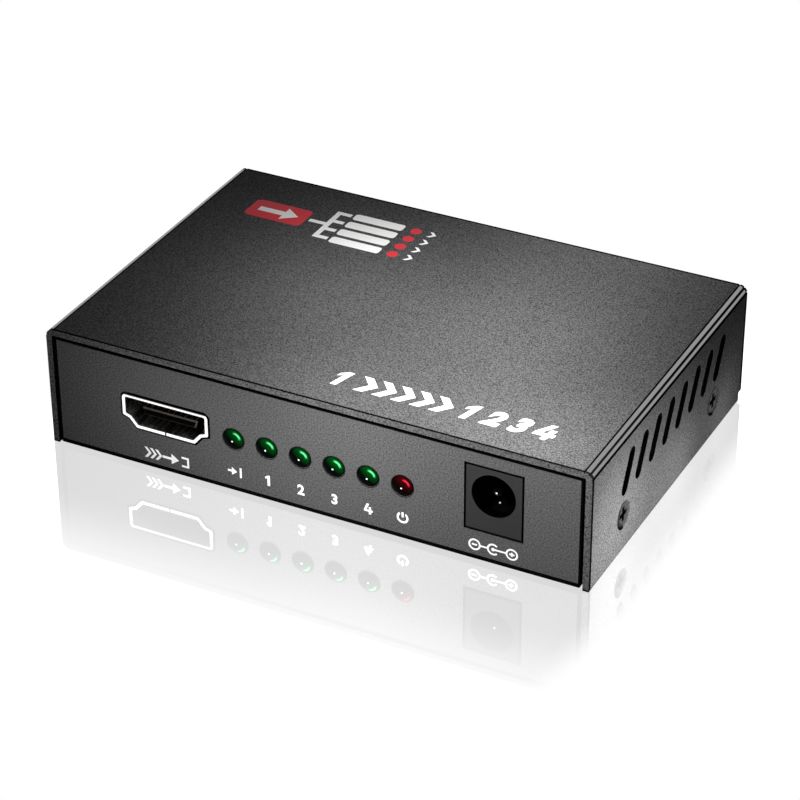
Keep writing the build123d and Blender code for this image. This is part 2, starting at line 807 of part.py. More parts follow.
def step_down_chip_leads():
    leads = side_leads(step_down_lead_count, step_down_lead_pitch, step_down_lead_width,
                       step_down_width / 2, step_down_height)
    return group([on_board(step_down_x_share, step_down_y) * lead for lead in turned(leads, (0, 180))])


def power_inductor():
    half = inductor_side / 2
    core = block(-half, half, -half, half, 0, inductor_height)
    core = chamfer(core.edges().filter_by(Axis.Z), inductor_corner)
    return on_board(inductor_x_share, inductor_y) * core


def smoothing_capacitor_bases():
    half = can_base_side / 2
    base = block(-half, half, -half, half, 0, can_base_height)
    base = chamfer(base.edges().filter_by(Axis.Z).group_by(Axis.X)[-1], can_base_corner)
    return group([on_board(can_x_share, y) * base for y in can_ys])


def smoothing_capacitors():
    can = bar_z(can_radius, 0, 0, can_base_height, can_base_height + can_height)
    can = fillet(can.edges().sort_by(Axis.Z)[-1], can_edge)
    return group([on_board(can_x_share, y) * can for y in can_ys])


def clock_crystal():
    can = extrude(SlotOverall(crystal_length, crystal_width), amount=crystal_height)
    rim = extrude(SlotOverall(crystal_length + crystal_rim, crystal_width + crystal_rim),
                  amount=crystal_rim_height)
    return on_board(crystal_x_share, crystal_y) * (can + rim)


def input_fuse():
    body = block(-fuse_length / 2, fuse_length / 2, -fuse_width / 2, fuse_width / 2, 0, fuse_height)
    return on_board(fuse_x_share, fuse_y) * body


def input_diode():
    return on_board(diode_x_share, diode_y) * package(diode_length, diode_width, diode_height)


def input_diode_leads():
    lead = side_leads(1, 0, diode_lead_width, diode_length / 2, diode_height)
    return group([on_board(diode_x_share, diode_y) * piece for piece in turned(lead, (0, 180))])


def passive(height):
    return block(-passive_width / 2, passive_width / 2, -passive_length / 2, passive_length / 2, 0, height)


def ceramic_capacitors():
    away = splitter_side / 2 + lead_foot + package_gap + passive_length / 2
    columns = [-away - i * (passive_length + package_gap) for i in range(capacitor_column_count)]
    places = [(x, y) for x in columns for y in spread(capacitor_count, capacitor_pitch)]
    body = Rot(0, 0, 90) * passive(capacitor_height)
    return group([on_board(splitter_x_share, splitter_y) * Pos(x, y, 0) * body for x, y in places])


def resistors():
    y = lamp_lead_y + resistor_row_gap + passive_length / 2
    return group([Pos(x, y, board_top) * passive(resistor_height) for x in lamp_places()])


nodes = {
    "top_cover": top_cover(),
    "base_tray": base_tray(),
    "circuit_board": circuit_board(),
    "board_standoffs": board_standoffs(),
    "board_screws": board_screws(),
    "lamp_holders": lamp_holders(),
    "lamp_leads": lamp_leads(),
    "splitter_chip": splitter_chip(),
    "splitter_chip_leads": splitter_chip_leads(),
    "thermal_pad": thermal_pad(),
    "heat_sink": heat_sink(),
    "controller_chip": controller_chip(),
    "controller_chip_leads": controller_chip_leads(),
    "memory_chips": memory_chips(),
    "memory_chip_leads": memory_chip_leads(),
    "surge_arrays": surge_arrays(),
    "voltage_regulators": voltage_regulators(),
    "voltage_regulator_leads": voltage_regulator_leads(),
    "step_down_chip": step_down_chip(),
    "step_down_chip_leads": step_down_chip_leads(),
    "power_inductor": power_inductor(),
    "smoothing_capacitors": smoothing_capacitors(),
    "smoothing_capacitor_bases": smoothing_capacitor_bases(),
    "clock_crystal": clock_crystal(),
    "input_fuse": input_fuse(),
    "input_diode": input_diode(),
    "input_diode_leads": input_diode_leads(),
    "ceramic_capacitors": ceramic_capacitors(),
    "resistors": resistors(),
}

for side, y in case_screw_places():
    hand = "right" if side > 0 else "left"
    end = "front" if y < 0 else "rear"
    nodes[f"case_screw_{hand}_{end}"] = on_side(case_screw(y), side)

for name, x in zip(lamp_names, lamp_places()):
    nodes[f"lamp_{name}"] = lamp(x)

shell, housing, contacts = socket_shell(), socket_housing(), socket_contacts()
for name, placing in socket_placings().items():
    nodes[f"{name}_shell"] = placing * shell
    nodes[f"{name}_housing"] = placing * housing
    nodes[f"{name}_contacts"] = group([placing * contact for contact in contacts])

jack_placing = Pos(jack_x, jack_y, board_top)
nodes["power_jack_body"] = jack_placing * power_jack_body()
nodes["power_jack_pin"] = jack_placing * power_jack_pin()
nodes["power_jack_leaf"] = jack_placing * power_jack_leaf()
nodes["power_jack_terminals"] = group([jack_placing * blade for blade in power_jack_terminals()])

os.makedirs("parts", exist_ok=True)
for name, shape in nodes.items():
    export_step(shape, f"parts/{name}.step")
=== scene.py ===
import json
import math

import bmesh
import bpy
from mathutils import Matrix, Vector


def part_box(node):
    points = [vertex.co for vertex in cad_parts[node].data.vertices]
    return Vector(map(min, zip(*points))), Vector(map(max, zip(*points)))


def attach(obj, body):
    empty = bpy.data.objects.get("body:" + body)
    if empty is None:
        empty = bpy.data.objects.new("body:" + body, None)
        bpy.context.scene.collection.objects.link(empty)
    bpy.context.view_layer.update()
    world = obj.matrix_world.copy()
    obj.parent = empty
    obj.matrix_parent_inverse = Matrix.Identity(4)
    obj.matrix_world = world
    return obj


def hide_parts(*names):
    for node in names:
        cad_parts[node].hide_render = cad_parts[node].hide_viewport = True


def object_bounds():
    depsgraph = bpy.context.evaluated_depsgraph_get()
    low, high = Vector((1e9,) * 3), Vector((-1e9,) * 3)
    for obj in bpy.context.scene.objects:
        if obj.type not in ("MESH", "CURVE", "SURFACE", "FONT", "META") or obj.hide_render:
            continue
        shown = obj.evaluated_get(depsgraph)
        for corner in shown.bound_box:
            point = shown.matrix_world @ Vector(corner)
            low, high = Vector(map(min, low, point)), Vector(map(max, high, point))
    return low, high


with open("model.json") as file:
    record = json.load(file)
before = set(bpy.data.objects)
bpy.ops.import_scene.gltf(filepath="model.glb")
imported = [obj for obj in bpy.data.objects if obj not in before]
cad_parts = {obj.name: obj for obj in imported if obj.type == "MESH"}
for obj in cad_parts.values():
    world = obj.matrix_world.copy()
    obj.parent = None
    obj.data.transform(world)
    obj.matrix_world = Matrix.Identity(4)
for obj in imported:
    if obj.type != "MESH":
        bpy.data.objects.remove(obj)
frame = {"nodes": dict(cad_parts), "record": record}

cadLow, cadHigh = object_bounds()
mm = 0.001
case = "case"  # body that carries everything but the case screws and the jack's leaf
slotOf = {subpart["node"]: subpart["material_slot"] for subpart in frame["record"]["subparts"]}
bodyOf = {node: body for body, nodes in frame["record"]["behaviour"]["bodies"].items() for node in nodes}
print("frame loaded:", len(frame["nodes"]), "nodes")


# Node trees: what goes into a node is a constant or another node's output

def giveValue(tree, socket, value):
    if isinstance(value, bpy.types.NodeSocket):
        tree.links.new(value, socket)
    else:
        socket.default_value = value


def addNode(tree, kind, inputs=(), **settings):
    # Inputs are given by their names or numbers
    node = tree.nodes.new(kind)
    for key, value in settings.items():
        setattr(node, key, value)
    for label, value in dict(inputs).items():
        giveValue(tree, node.inputs[label], value)
    return node


def addMath(tree, operation, *values):
    return addNode(tree, "ShaderNodeMath", enumerate(values), operation=operation).outputs[0]


def addVector(tree, operation, *values):
    node = addNode(tree, "ShaderNodeVectorMath", enumerate(values), operation=operation)
    return node.outputs["Value" if operation in ("LENGTH", "DISTANCE", "DOT_PRODUCT") else "Vector"]


def addScaled(tree, vector, factor):
    node = addNode(tree, "ShaderNodeVectorMath", {0: vector, "Scale": factor}, operation="SCALE")
    return node.outputs["Vector"]


def addRange(tree, value, low, high, fromLow, fromHigh):
    return addNode(tree, "ShaderNodeMapRange", {
        "Value": value, "From Min": fromLow, "From Max": fromHigh, "To Min": low,
        "To Max": high}).outputs["Result"]


def addLength(tree, first, second):
    squares = [addMath(tree, "MULTIPLY", value, value) for value in (first, second)]
    return addMath(tree, "SQRT", addMath(tree, "ADD", *squares))


def mixColor(tree, factor, first, second):
    # Of a Mix node's sockets, 6 and 7 take the colours and 2 gives the result
    node = addNode(tree, "ShaderNodeMix", {"Factor": factor, 6: first, 7: second}, data_type="RGBA")
    return node.outputs[2]


def splitVector(tree, vector):
    return addNode(tree, "ShaderNodeSeparateXYZ", {0: vector}).outputs


def makeGroup(name, inputs, outputs, kind="ShaderNodeTree"):
    # Inputs are given by their first values or, where they have none, by their kinds, as the outputs are
    tree = bpy.data.node_groups.new(name, kind)
    for label, value in inputs.items():
        if isinstance(value, str):
            tree.interface.new_socket(label, in_out="INPUT", socket_type="NodeSocket" + value)
        else:
            socketKind = "NodeSocketColor" if isinstance(value, tuple) else "NodeSocketFloat"
            tree.interface.new_socket(label, in_out="INPUT", socket_type=socketKind).default_value = value
    for label, value in outputs.items():
        tree.interface.new_socket(label, in_out="OUTPUT", socket_type="NodeSocket" + value)
    return tree, addNode(tree, "NodeGroupInput").outputs, addNode(tree, "NodeGroupOutput").inputs


# Shader groups, built once and shared by the materials

# Most of a noise lies between low and high; clouds are the slow change from place to place
noiseLook = dict(low=0.3, high=0.7, grainRoughness=0.6, cloudRoughness=0.55, cloudDetail=3.0)


def makeNoise(tree, size, detail, roughness):
    coords = addNode(tree, "ShaderNodeTexCoord").outputs
    return addNode(tree, "ShaderNodeTexNoise", {
        "Vector": coords["Object"], "Scale": addMath(tree, "DIVIDE", 1.0, size), "Detail": detail,
        "Roughness": roughness}).outputs["Fac"]


def makeGrainGroup():
    # Fine even grain: a mask for the colour and a bumped normal
    tree, given, result = makeGroup("Grain", {"Size": 0.4 * mm, "Depth": 0.02 * mm, "Detail": 2.0},
                                    {"Mask": "Float", "Normal": "Vector"})
    noise = makeNoise(tree, given["Size"], given["Detail"], noiseLook["grainRoughness"])
    bump = addNode(tree, "ShaderNodeBump", {"Strength": 1.0, "Height": noise, "Distance": given["Depth"]})
    giveValue(tree, result["Mask"], addRange(tree, noise, 0.0, 1.0, noiseLook["low"], noiseLook["high"]))
    giveValue(tree, result["Normal"], bump.outputs["Normal"])
    return tree


def makeToneGroup():
    # A colour that goes between a darker and a lighter tone, by a mask and by slow cloudy change
    tree, given, result = makeGroup(
        "Tone", {"Color": (0.5, 0.5, 0.5, 1), "Mask": 0.5, "Contrast": 0.2, "Cloud Size": 12 * mm,
                 "Cloud Contrast": 0.1}, {"Color": "Color", "Cloud": "Float"})
    noise = makeNoise(tree, given["Cloud Size"], noiseLook["cloudDetail"], noiseLook["cloudRoughness"])
    cloud = addRange(tree, noise, -0.5, 0.5, noiseLook["low"], noiseLook["high"])
    fine = addMath(tree, "MULTIPLY", addMath(tree, "SUBTRACT", given["Mask"], 0.5), given["Contrast"])
    slow = addMath(tree, "MULTIPLY", cloud, given["Cloud Contrast"])
    factor = addMath(tree, "ADD", addMath(tree, "ADD", fine, slow), 1.0)
    giveValue(tree, result["Color"], addScaled(tree, given["Color"], factor))
    giveValue(tree, result["Cloud"], addMath(tree, "ADD", cloud, 0.5))
    return tree


grainGroup = makeGrainGroup()
toneGroup = makeToneGroup()


# Masks

def below(tree, value, limit, blur=0.02 * mm):
    # 1 where the value is under the limit, 0 over it
    return addRange(tree, value, 1, 0, limit - blur, limit + blur)


def above(tree, value, limit, blur=0.02 * mm):
    return addRange(tree, value, 0, 1, limit - blur, limit + blur)


def invert(tree, mask):
    return addMath(tree, "SUBTRACT", 1.0, mask)


def addBoth(tree, *masks):
    # 1 where all the masks are 1
    result = masks[0]
    for mask in masks[1:]:
        result = addMath(tree, "MULTIPLY", result, mask)
    return result


def addEither(tree, *masks):
    result = masks[0]
    for mask in masks[1:]:
        result = addMath(tree, "MAXIMUM", result, mask)
    return result


# Finishes: colours are linear, sizes in millimetres
finishDefaults = dict(metallic=0.0, specular=0.5, grainSize=0.2, grainDepth=0.01, contrast=0.1, cloudSize=2,
                      cloudContrast=0.1)
finishes = {
    "black_powder_coat": dict(color=(0.08, 0.08, 0.081), specular=0.0, roughness=(0.42, 0.5), grainSize=0.22,
                              grainDepth=0.03, contrast=1.6, cloudSize=14, cloudContrast=0.06),
    "screw_black": dict(color=(0.022, 0.022, 0.0225), specular=0.03, roughness=(0.34, 0.44), grainSize=0.25,
                        grainDepth=0.02, contrast=0.3),
    "circuit_board": dict(color=(0.012, 0.09, 0.035), roughness=(0.3, 0.42), grainSize=0.5, contrast=0.15,
                          cloudSize=9, cloudContrast=0.2),
    "zinc_plate": dict(color=(0.6, 0.58, 0.52), roughness=(0.28, 0.42), metallic=1.0, grainSize=0.3,
                       grainDepth=0.008, cloudSize=3, cloudContrast=0.12),
    "tinned_lead": dict(color=(0.68, 0.67, 0.65), roughness=(0.25, 0.38), metallic=1.0, grainDepth=0.006),
    "socket_shell": dict(color=(0.9, 0.9, 0.89), roughness=(0.2, 0.3), metallic=1.0, grainSize=0.25,
                         grainDepth=0.004, contrast=0.06, cloudSize=4, cloudContrast=0.05),
    "socket_plastic": dict(color=(0.0016, 0.0014, 0.0014), specular=0.0, roughness=(0.36, 0.46), contrast=0.2,
                           cloudSize=3),
    "gold_contact": dict(color=(0.36, 0.26, 0.11), roughness=(0.3, 0.42), metallic=1.0, grainSize=0.15,
                         grainDepth=0.003, contrast=0.08),
    "lamp_green": dict(color=(0.0, 0.09, 0.02), roughness=(0.1, 0.16), grainSize=0.4, grainDepth=0.004),
    "lamp_red": dict(color=(0.14, 0.003, 0.006), roughness=(0.1, 0.16), grainSize=0.4, grainDepth=0.004),
    "black_plastic": dict(color=(0.016, 0.016, 0.017), roughness=(0.4, 0.52), grainSize=0.25,
                          grainDepth=0.012, contrast=0.2, cloudSize=4),
    "chip_body": dict(color=(0.02, 0.02, 0.021), roughness=(0.5, 0.62), grainSize=0.15, grainDepth=0.014,
                      contrast=0.35, cloudSize=4, cloudContrast=0.12),
    "thermal_pad": dict(color=(0.42, 0.46, 0.52), roughness=(0.6, 0.75), grainSize=0.3, grainDepth=0.02,
                        contrast=0.15, cloudSize=4),
    "heat_sink": dict(color=(0.03, 0.03, 0.033), roughness=(0.32, 0.45), metallic=0.6, grainSize=0.3,
                      grainDepth=0.008, contrast=0.2, cloudSize=5, cloudContrast=0.15),
    "ferrite": dict(color=(0.06, 0.06, 0.062), roughness=(0.55, 0.7), grainDepth=0.02, contrast=0.4,
                    cloudSize=3, cloudContrast=0.15),
    "capacitor_can": dict(color=(0.7, 0.7, 0.71), roughness=(0.28, 0.4), metallic=1.0, grainSize=0.3,
                          grainDepth=0.005, contrast=0.08, cloudSize=3),
    "fuse_body": dict(color=(0.42, 0.33, 0.12), roughness=(0.4, 0.5), contrast=0.2),
    "ceramic_body": dict(color=(0.4, 0.27, 0.16), roughness=(0.45, 0.58), grainSize=0.15, contrast=0.2),
    "resistor_body": dict(color=(0.015, 0.015, 0.016), roughness=(0.35, 0.5), grainSize=0.15, contrast=0.3,
                          cloudSize=1),
    "jack_plastic": dict(color=(0.026, 0.026, 0.0265), specular=0.04, roughness=(0.45, 0.55), grainSize=0.35,
                         contrast=0.12, cloudSize=5, cloudContrast=0.08),
    # jack_metal is near black: painted shade for the pin and leaf deep in the jack's bore
    "jack_metal": dict(color=(0.002, 0.002, 0.002), roughness=(0.2, 0.26), metallic=1.0, grainDepth=0.004,
                       contrast=0.08, cloudContrast=0.08),
}


def newMaterial(name):
    material = bpy.data.materials.new(name)
    material.use_nodes = True
    return material, material.node_tree


def setShader(tree, values):
    for label, value in values.items():
        giveValue(tree, tree.nodes["Principled BSDF"].inputs[label], value)


def makeFinish(name, look, shade=None):
    # One procedural material from a dictionary of its look; shade makes masks of its painted shade, painted
    # light and painted sheen
    look = {**finishDefaults, **look}
    material, tree = newMaterial(name)
    grain = addNode(tree, "ShaderNodeGroup", {
        "Size": look["grainSize"] * mm, "Depth": look["grainDepth"] * mm}, node_tree=grainGroup).outputs
    tone = addNode(tree, "ShaderNodeGroup", {
        "Color": (*look["color"], 1), "Mask": grain["Mask"], "Contrast": look["contrast"],
        "Cloud Size": look["cloudSize"] * mm,
        "Cloud Contrast": look["cloudContrast"]}, node_tree=toneGroup).outputs
    color, metallic = tone["Color"], look["metallic"]
    if shade:
        dark, sheenMask = shade(tree)
        color = addScaled(tree, color, invert(tree, dark))
        if sheenMask:
            color, metallic = mixColor(tree, sheenMask, color, (*look["sheenColor"], 1)), sheenMask
    setShader(tree, {"Base Color": color, "Metallic": metallic, "Specular IOR Level": look["specular"],
                     "Roughness": addRange(tree, tone["Cloud"], *look["roughness"], 0, 1),
                     "Normal": grain["Normal"]})
    return material


materials = {slot: makeFinish(slot, look) for slot, look in finishes.items()}


# Painted shade and painted light on single pieces: each shade puts out the share of the colour that is taken
# off, which is less than nothing where light is painted, and a mask of painted sheen on metal, where there is
# some

shadeStrength = 0.97
facingLimit = dict(limit=0.5, blur=0.1)  # parts what faces the front or rear from what doesn't


def readPlace(tree):
    # Distances from the case's middle planes, and how much the surface faces each way
    coords = addNode(tree, "ShaderNodeTexCoord").outputs
    return [splitVector(tree, addVector(tree, "ABSOLUTE", coords[label])) for label in ("Object", "Normal")]


def readScrewPlace(tree, shift=0.0):
    # Distance from a point this far behind the nearest case screw's axis, and the way to the rear from it
    _, y, z = splitVector(tree, addNode(tree, "ShaderNodeTexCoord").outputs["Object"])
    away = addMath(tree, "SUBTRACT", addMath(tree, "ABSOLUTE", y), abs(screwMiddle.y))
    rearward = addMath(tree, "SUBTRACT", addMath(tree, "MULTIPLY", away, addMath(tree, "SIGN", y)), shift)
    return addLength(tree, rearward, addMath(tree, "SUBTRACT", z, screwMiddle.z)), rearward


def takeOff(tree, mask, strength=shadeStrength):
    return addMath(tree, "MULTIPLY", mask, strength)


# The cover's creases of painted shade are given by their angles round the bend, from its upper end, and their
# half widths
coverShade = dict(bend=1.3 * mm, skin=0.03 * mm, edge=0.42 * mm, edgeSlant=0.25 * mm, edgeBlur=0.05 * mm,
                  foot=0.3 * mm, creases=((0, 0.15 * mm), (40, 0.2 * mm), (80, 0.28 * mm)),
                  creaseBlur=0.05 * mm, sinkRadius=2.7 * mm, sinkBlur=0.3 * mm, sinkLight=0.75,
                  lipRadius=2.36 * mm, lipShift=0.15 * mm)
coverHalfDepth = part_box("top_cover")[1].y
screwLow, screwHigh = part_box("case_screw_right_front")
screwMiddle = (screwLow + screwHigh) / 2


def shadeCover(tree):
    # Painted shade in the creases and holes, in a fine line along the front and rear edges and at the feet
    look = coverShade
    bend, skin = look["bend"], look["skin"]
    (x, y, z), (sideways, facing, _) = readPlace(tree)
    side = addMath(tree, "SUBTRACT", x, cadHigh.x - bend)
    rise = addMath(tree, "SUBTRACT", z, cadHigh.z - bend)
    outSide, outRise = (addMath(tree, "MAXIMUM", value, 0.0) for value in (side, rise))
    inside = addBoth(tree, below(tree, addLength(tree, outSide, outRise), bend - skin),
                     below(tree, y, coverHalfDepth - skin))
    # Painted light on the sink behind each screw's head, and a painted shadow along its front edge
    off, rearward = readScrewPlace(tree)
    sink = addBoth(tree, below(tree, off, look["sinkRadius"]), above(tree, rearward, 0.0, look["sinkBlur"]))
    lip = addBoth(tree, below(tree, readScrewPlace(tree, -look["lipShift"])[0], look["lipRadius"]),
                  invert(tree, sink))
    inside = addBoth(tree, inside, invert(tree, addMath(tree, "MULTIPLY", sink, look["sinkLight"])))
    # Way along the sheet's skin, from the bend's upper end
    way = addMath(tree, "MULTIPLY", addMath(tree, "ARCTAN2", outSide, outRise), bend)
    way = addMath(tree, "ADD", way, addMath(tree, "MINIMUM", side, 0.0))
    way = addMath(tree, "SUBTRACT", way, addMath(tree, "MINIMUM", rise, 0.0))
    places = [math.radians(angle) * bend for angle, _ in look["creases"]]
    ways = [addMath(tree, "ABSOLUTE", addMath(tree, "SUBTRACT", way, place)) for place in places]
    crease = addEither(tree, *(below(tree, away, width, look["creaseBlur"])
                               for away, (_, width) in zip(ways, look["creases"])))
    sheet = below(tree, facing, **facingLimit)
    # The painted shade line along the edge is wider on the sides, which the eye meets at a slant
    reachOut = addMath(tree, "ADD", y, addMath(tree, "MULTIPLY", sideways, look["edgeSlant"]))
    line = addBoth(tree, above(tree, reachOut, coverHalfDepth - look["edge"], look["edgeBlur"]), sheet)
    foot = addBoth(tree, below(tree, z, look["foot"]), invert(tree, sheet))
    dark = takeOff(tree, addEither(tree, inside, line, foot, lip, addBoth(tree, crease, sheet)))
    # Between the creases a metallic band stands in for the bend's highlight, as a painted sheen
    sheenMask = addBoth(tree, above(tree, way, places[0]), below(tree, way, places[-1]), sheet, invert(tree, dark))
    return dark, sheenMask


trayShade = dict(skin=0.03 * mm, sideEdge=0.3 * mm, topEdge=0.2 * mm, foot=0.95 * mm, depth=1.2 * mm)
trayLow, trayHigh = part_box("base_tray")


def shadeTray(tree):
    # Painted shade at the fold under the front and rear panels, along their edges and in their openings
    look = trayShade
    (x, y, z), (_, facing, _) = readPlace(tree)
    side = above(tree, x, trayHigh.x - look["sideEdge"])
    rise = above(tree, z, trayHigh.z - look["topEdge"])
    walls = addBoth(tree, below(tree, y, trayHigh.y - look["skin"]), below(tree, facing, **facingLimit))
    dark = addEither(tree, side, rise, below(tree, z, look["foot"]), walls)
    return takeOff(tree, addBoth(tree, dark, above(tree, y, trayHigh.y - look["depth"]))), None


screwShade = dict(cross=0.05 * mm, crossBlur=0.03 * mm, rimRadius=1.85 * mm, rimShift=0.5 * mm,
                  rimBlur=0.08 * mm, head=0.8 * mm)


def shadeScrew(tree):
    # Painted shade in the cross recess, down to the head's depth, and a painted shadow along the head's front
    # edge
    look = screwShade
    (x, _, _), _ = readPlace(tree)
    deep = below(tree, x, screwHigh.x - look["cross"], look["crossBlur"])
    rim = above(tree, readScrewPlace(tree, look["rimShift"])[0], look["rimRadius"], look["rimBlur"])
    head = above(tree, x, screwHigh.x - look["head"])
    return takeOff(tree, addBoth(tree, addEither(tree, deep, rim), head)), None


jackShade = dict(face=0.05 * mm, faceBlur=0.04 * mm, left=0.12 * mm, bottom=0.2 * mm, strength=0.99)
jackLow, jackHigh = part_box("power_jack_body")


def shadeJack(tree):
    # Painted shade behind the face, in the bore and round the body, and along the face's left and lower edges
    look = jackShade
    (x, y, z), _ = readPlace(tree)
    dark = addEither(tree, below(tree, y, -jackLow.y - look["face"], look["faceBlur"]),
                     below(tree, x, jackLow.x + look["left"]), below(tree, z, jackLow.z + look["bottom"]))
    return takeOff(tree, dark, look["strength"]), None


# Painted highlights on the pin's tip and on the leaf under it: places from the pin's axis at the jack's face,
# and radii, in millimetres. The pin's blade, at its rear, rises over that axis
glintShade = dict(spots=(((0, 1.0, 0), 0.15), ((-0.6, 3.52, -3.3), 0.14)), blur=0.03 * mm, strength=-450.0,
                  bladeRise=1.5 * mm)
jackMiddle = Vector(((jackLow.x + jackHigh.x) / 2, jackLow.y,
                     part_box("power_jack_pin")[1].z - glintShade["bladeRise"]))


def shadeJackMetal(tree):
    # Painted highlights at the glints; the rest of the metal keeps its near black colour, painted shade in
    # the bore
    place = addNode(tree, "ShaderNodeTexCoord").outputs["Object"]
    glints = [below(tree, addVector(tree, "DISTANCE", place, jackMiddle + Vector(spot) * mm), radius * mm,
                    glintShade["blur"]) for spot, radius in glintShade["spots"]]
    return takeOff(tree, addEither(tree, *glints), glintShade["strength"]), None


shellShade = dict(top=0.16 * mm, topBlur=0.05 * mm, seam=0.12 * mm, seamBlur=0.04 * mm, seamDrop=4 * mm)
inputLow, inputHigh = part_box("input_socket_shell")


def shadeShell(tree):
    # Painted shade along the upper edge of a socket's mouth
    (_, _, z), _ = readPlace(tree)
    return takeOff(tree, above(tree, z, inputHigh.z - shellShade["top"], shellShade["topBlur"])), None


def shadeInputShell(tree):
    # The input socket's shell shows its seam as well
    look = shellShade
    (x, _, z), _ = readPlace(tree)
    off = addMath(tree, "ABSOLUTE", addMath(tree, "ADD", x, (inputLow.x + inputHigh.x) / 2))
    seam = addBoth(tree, below(tree, off, look["seam"], look["seamBlur"]),
                   below(tree, z, inputHigh.z - look["seamDrop"]))
    return addEither(tree, shadeShell(tree)[0], seam), None


tongueShade = dict(low=0.55, high=0.85, blur=0.02, strength=-40.0)


def shadeTongue(tree):
    # Painted highlights on the chamfers of a socket's tongue and base, which face between two ways
    look = tongueShade
    _, (_, facing, _) = readPlace(tree)
    slanted = addBoth(tree, below(tree, facing, look["high"], look["blur"]),
                      above(tree, facing, look["low"], look["blur"]))
    return takeOff(tree, slanted, look["strength"]), None


# The cover's sheen colour is that of the metallic band, a painted sheen along the bend
coverCoat = dict(finishes["black_powder_coat"], sheenColor=(0.3, 0.3, 0.3))
trayCoat = dict(finishes["black_powder_coat"], contrast=1.0, grainSize=0.26)
shellFinish = makeFinish("socket_shell_edged", finishes["socket_shell"], shadeShell)
housingFinish = makeFinish("socket_housing_plastic", finishes["socket_plastic"], shadeTongue)
screwFinish = makeFinish("case_screw_black", finishes["screw_black"], shadeScrew)
ownFinishes = {node: shellFinish for node in frame["nodes"] if node.endswith("_socket_shell")}
ownFinishes.update({node: housingFinish for node in frame["nodes"] if node.endswith("_socket_housing")})
ownFinishes.update({
    "input_socket_shell": makeFinish("input_shell_seamed", finishes["socket_shell"], shadeInputShell),
    "top_cover": makeFinish("cover_powder_coat", coverCoat, shadeCover),
    "base_tray": makeFinish("tray_powder_coat", trayCoat, shadeTray),
    "power_jack_body": makeFinish("jack_body_plastic", finishes["jack_plastic"], shadeJack),
    "power_jack_pin": makeFinish("jack_pin_metal", finishes["jack_metal"], shadeJackMetal),
    "power_jack_leaf": makeFinish("jack_leaf_metal", finishes["jack_metal"], shadeJackMetal),
})
print("finishes:", len(materials), "and shaded nodes:", len(ownFinishes))

# Every CAD node takes the finish of its slot in the record, or its own
for node, slot in slotOf.items():
    mesh = frame["nodes"][node].data
    mesh.materials.clear()
    mesh.materials.append(ownFinishes.get(node, materials[slot]))


# Meshes

def onCircle(x, y, radius, turn):
    return x + radius * math.cos(turn), y + radius * math.sin(turn)


def turnProfile(build, profile, steps, place=Matrix()):
    # Turns (radius, along) points about Z, closes both poles and puts the result at its place
    rings = []
    for radius, along in profile:
        turns = [2 * math.pi * i / steps for i in range(steps)] if radius else [0]
        rings.append([build.verts.new((*onCircle(0, 0, radius, turn), along)) for turn in turns])
    for first, second in zip(rings, rings[1:]):
        for i in range(steps):
            corners = [first[i % len(first)], first[(i + 1) % steps % len(first)],
                       second[(i + 1) % steps % len(second)], second[i % len(second)]]
            build.faces.new(list(dict.fromkeys(corners)))
    bmesh.ops.transform(build, matrix=place, verts=build.verts)


def finishMesh(build, name, sharpAngle=35):
    # Outward normals, and smooth shading but at sharp edges
    bmesh.ops.recalc_face_normals(build, faces=build.faces)
    mesh = bpy.data.meshes.new(name)
    build.to_mesh(mesh)
    build.free()
    mesh.shade_smooth()
    mesh.set_sharp_from_angle(angle=math.radians(sharpAngle))
    return mesh


def linkObject(name, data):
    piece = bpy.data.objects.new(name, data)
    bpy.context.scene.collection.objects.link(piece)
    return piece


def bakeObject(piece, *spares):
    # The evaluated object as a plain mesh; the object itself and its spares are done with
    mesh = bpy.data.meshes.new_from_object(piece.evaluated_get(bpy.context.evaluated_depsgraph_get()))
    piece.modifiers.clear()
    for spare in (piece, *spares):
        bpy.data.objects.remove(spare)
    return mesh


def ridePiece(name, mesh, material, body, nodes=()):
    mesh.materials.clear()
    mesh.materials.append(material)
    piece = linkObject(name, mesh)
    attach(piece, body)
    if nodes:
        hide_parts(*nodes)


def nodeMiddle(node):
    low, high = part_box(node)
    return (low + high) / 2


# Lamps: turned lenses with a flange, each with its own map of painted shade and painted highlights. Sizes are
# in millimetres, what shows in a lens is on a radius of 1, and angles are in degrees

lampLook = dict(radius=1.78, dome=0.8, flange=1.0, flangeRadius=1.9, steps=64, domeSteps=12,
                lean=(0.6, 0.8, 0), leanFrom=-0.1, leanTo=0.75, rim=0.84, glint=(0.05, -0.07, 0),
                glintRadius=0.075, glintCore=0.7, glintBlur=1.2, arcPlace=(0.1, 0.07, 0), arcRadius=0.62,
                arcWidth=0.1, arcCore=0.3, arcMiddle=50, arcSpread=46, arcFull=0.45, roughness=(0.07, 0.12),
                specular=0.004, grainSize=0.5, grainDepth=0.002)
# Dark is the painted shade at the lower left and rim, Arc the colour of the painted highlight
lampColors = {
    "lamp_green": dict(Dark=(0.0004, 0.001, 0.0007), Body=(0.0003, 0.042, 0.005), Arc=(0.09, 0.66, 0.21)),
    "lamp_red": dict(Dark=(0.0012, 0.0006, 0.0006), Body=(0.032, 0.0005, 0.0015), Arc=(0.5, 0.015, 0.04)),
}


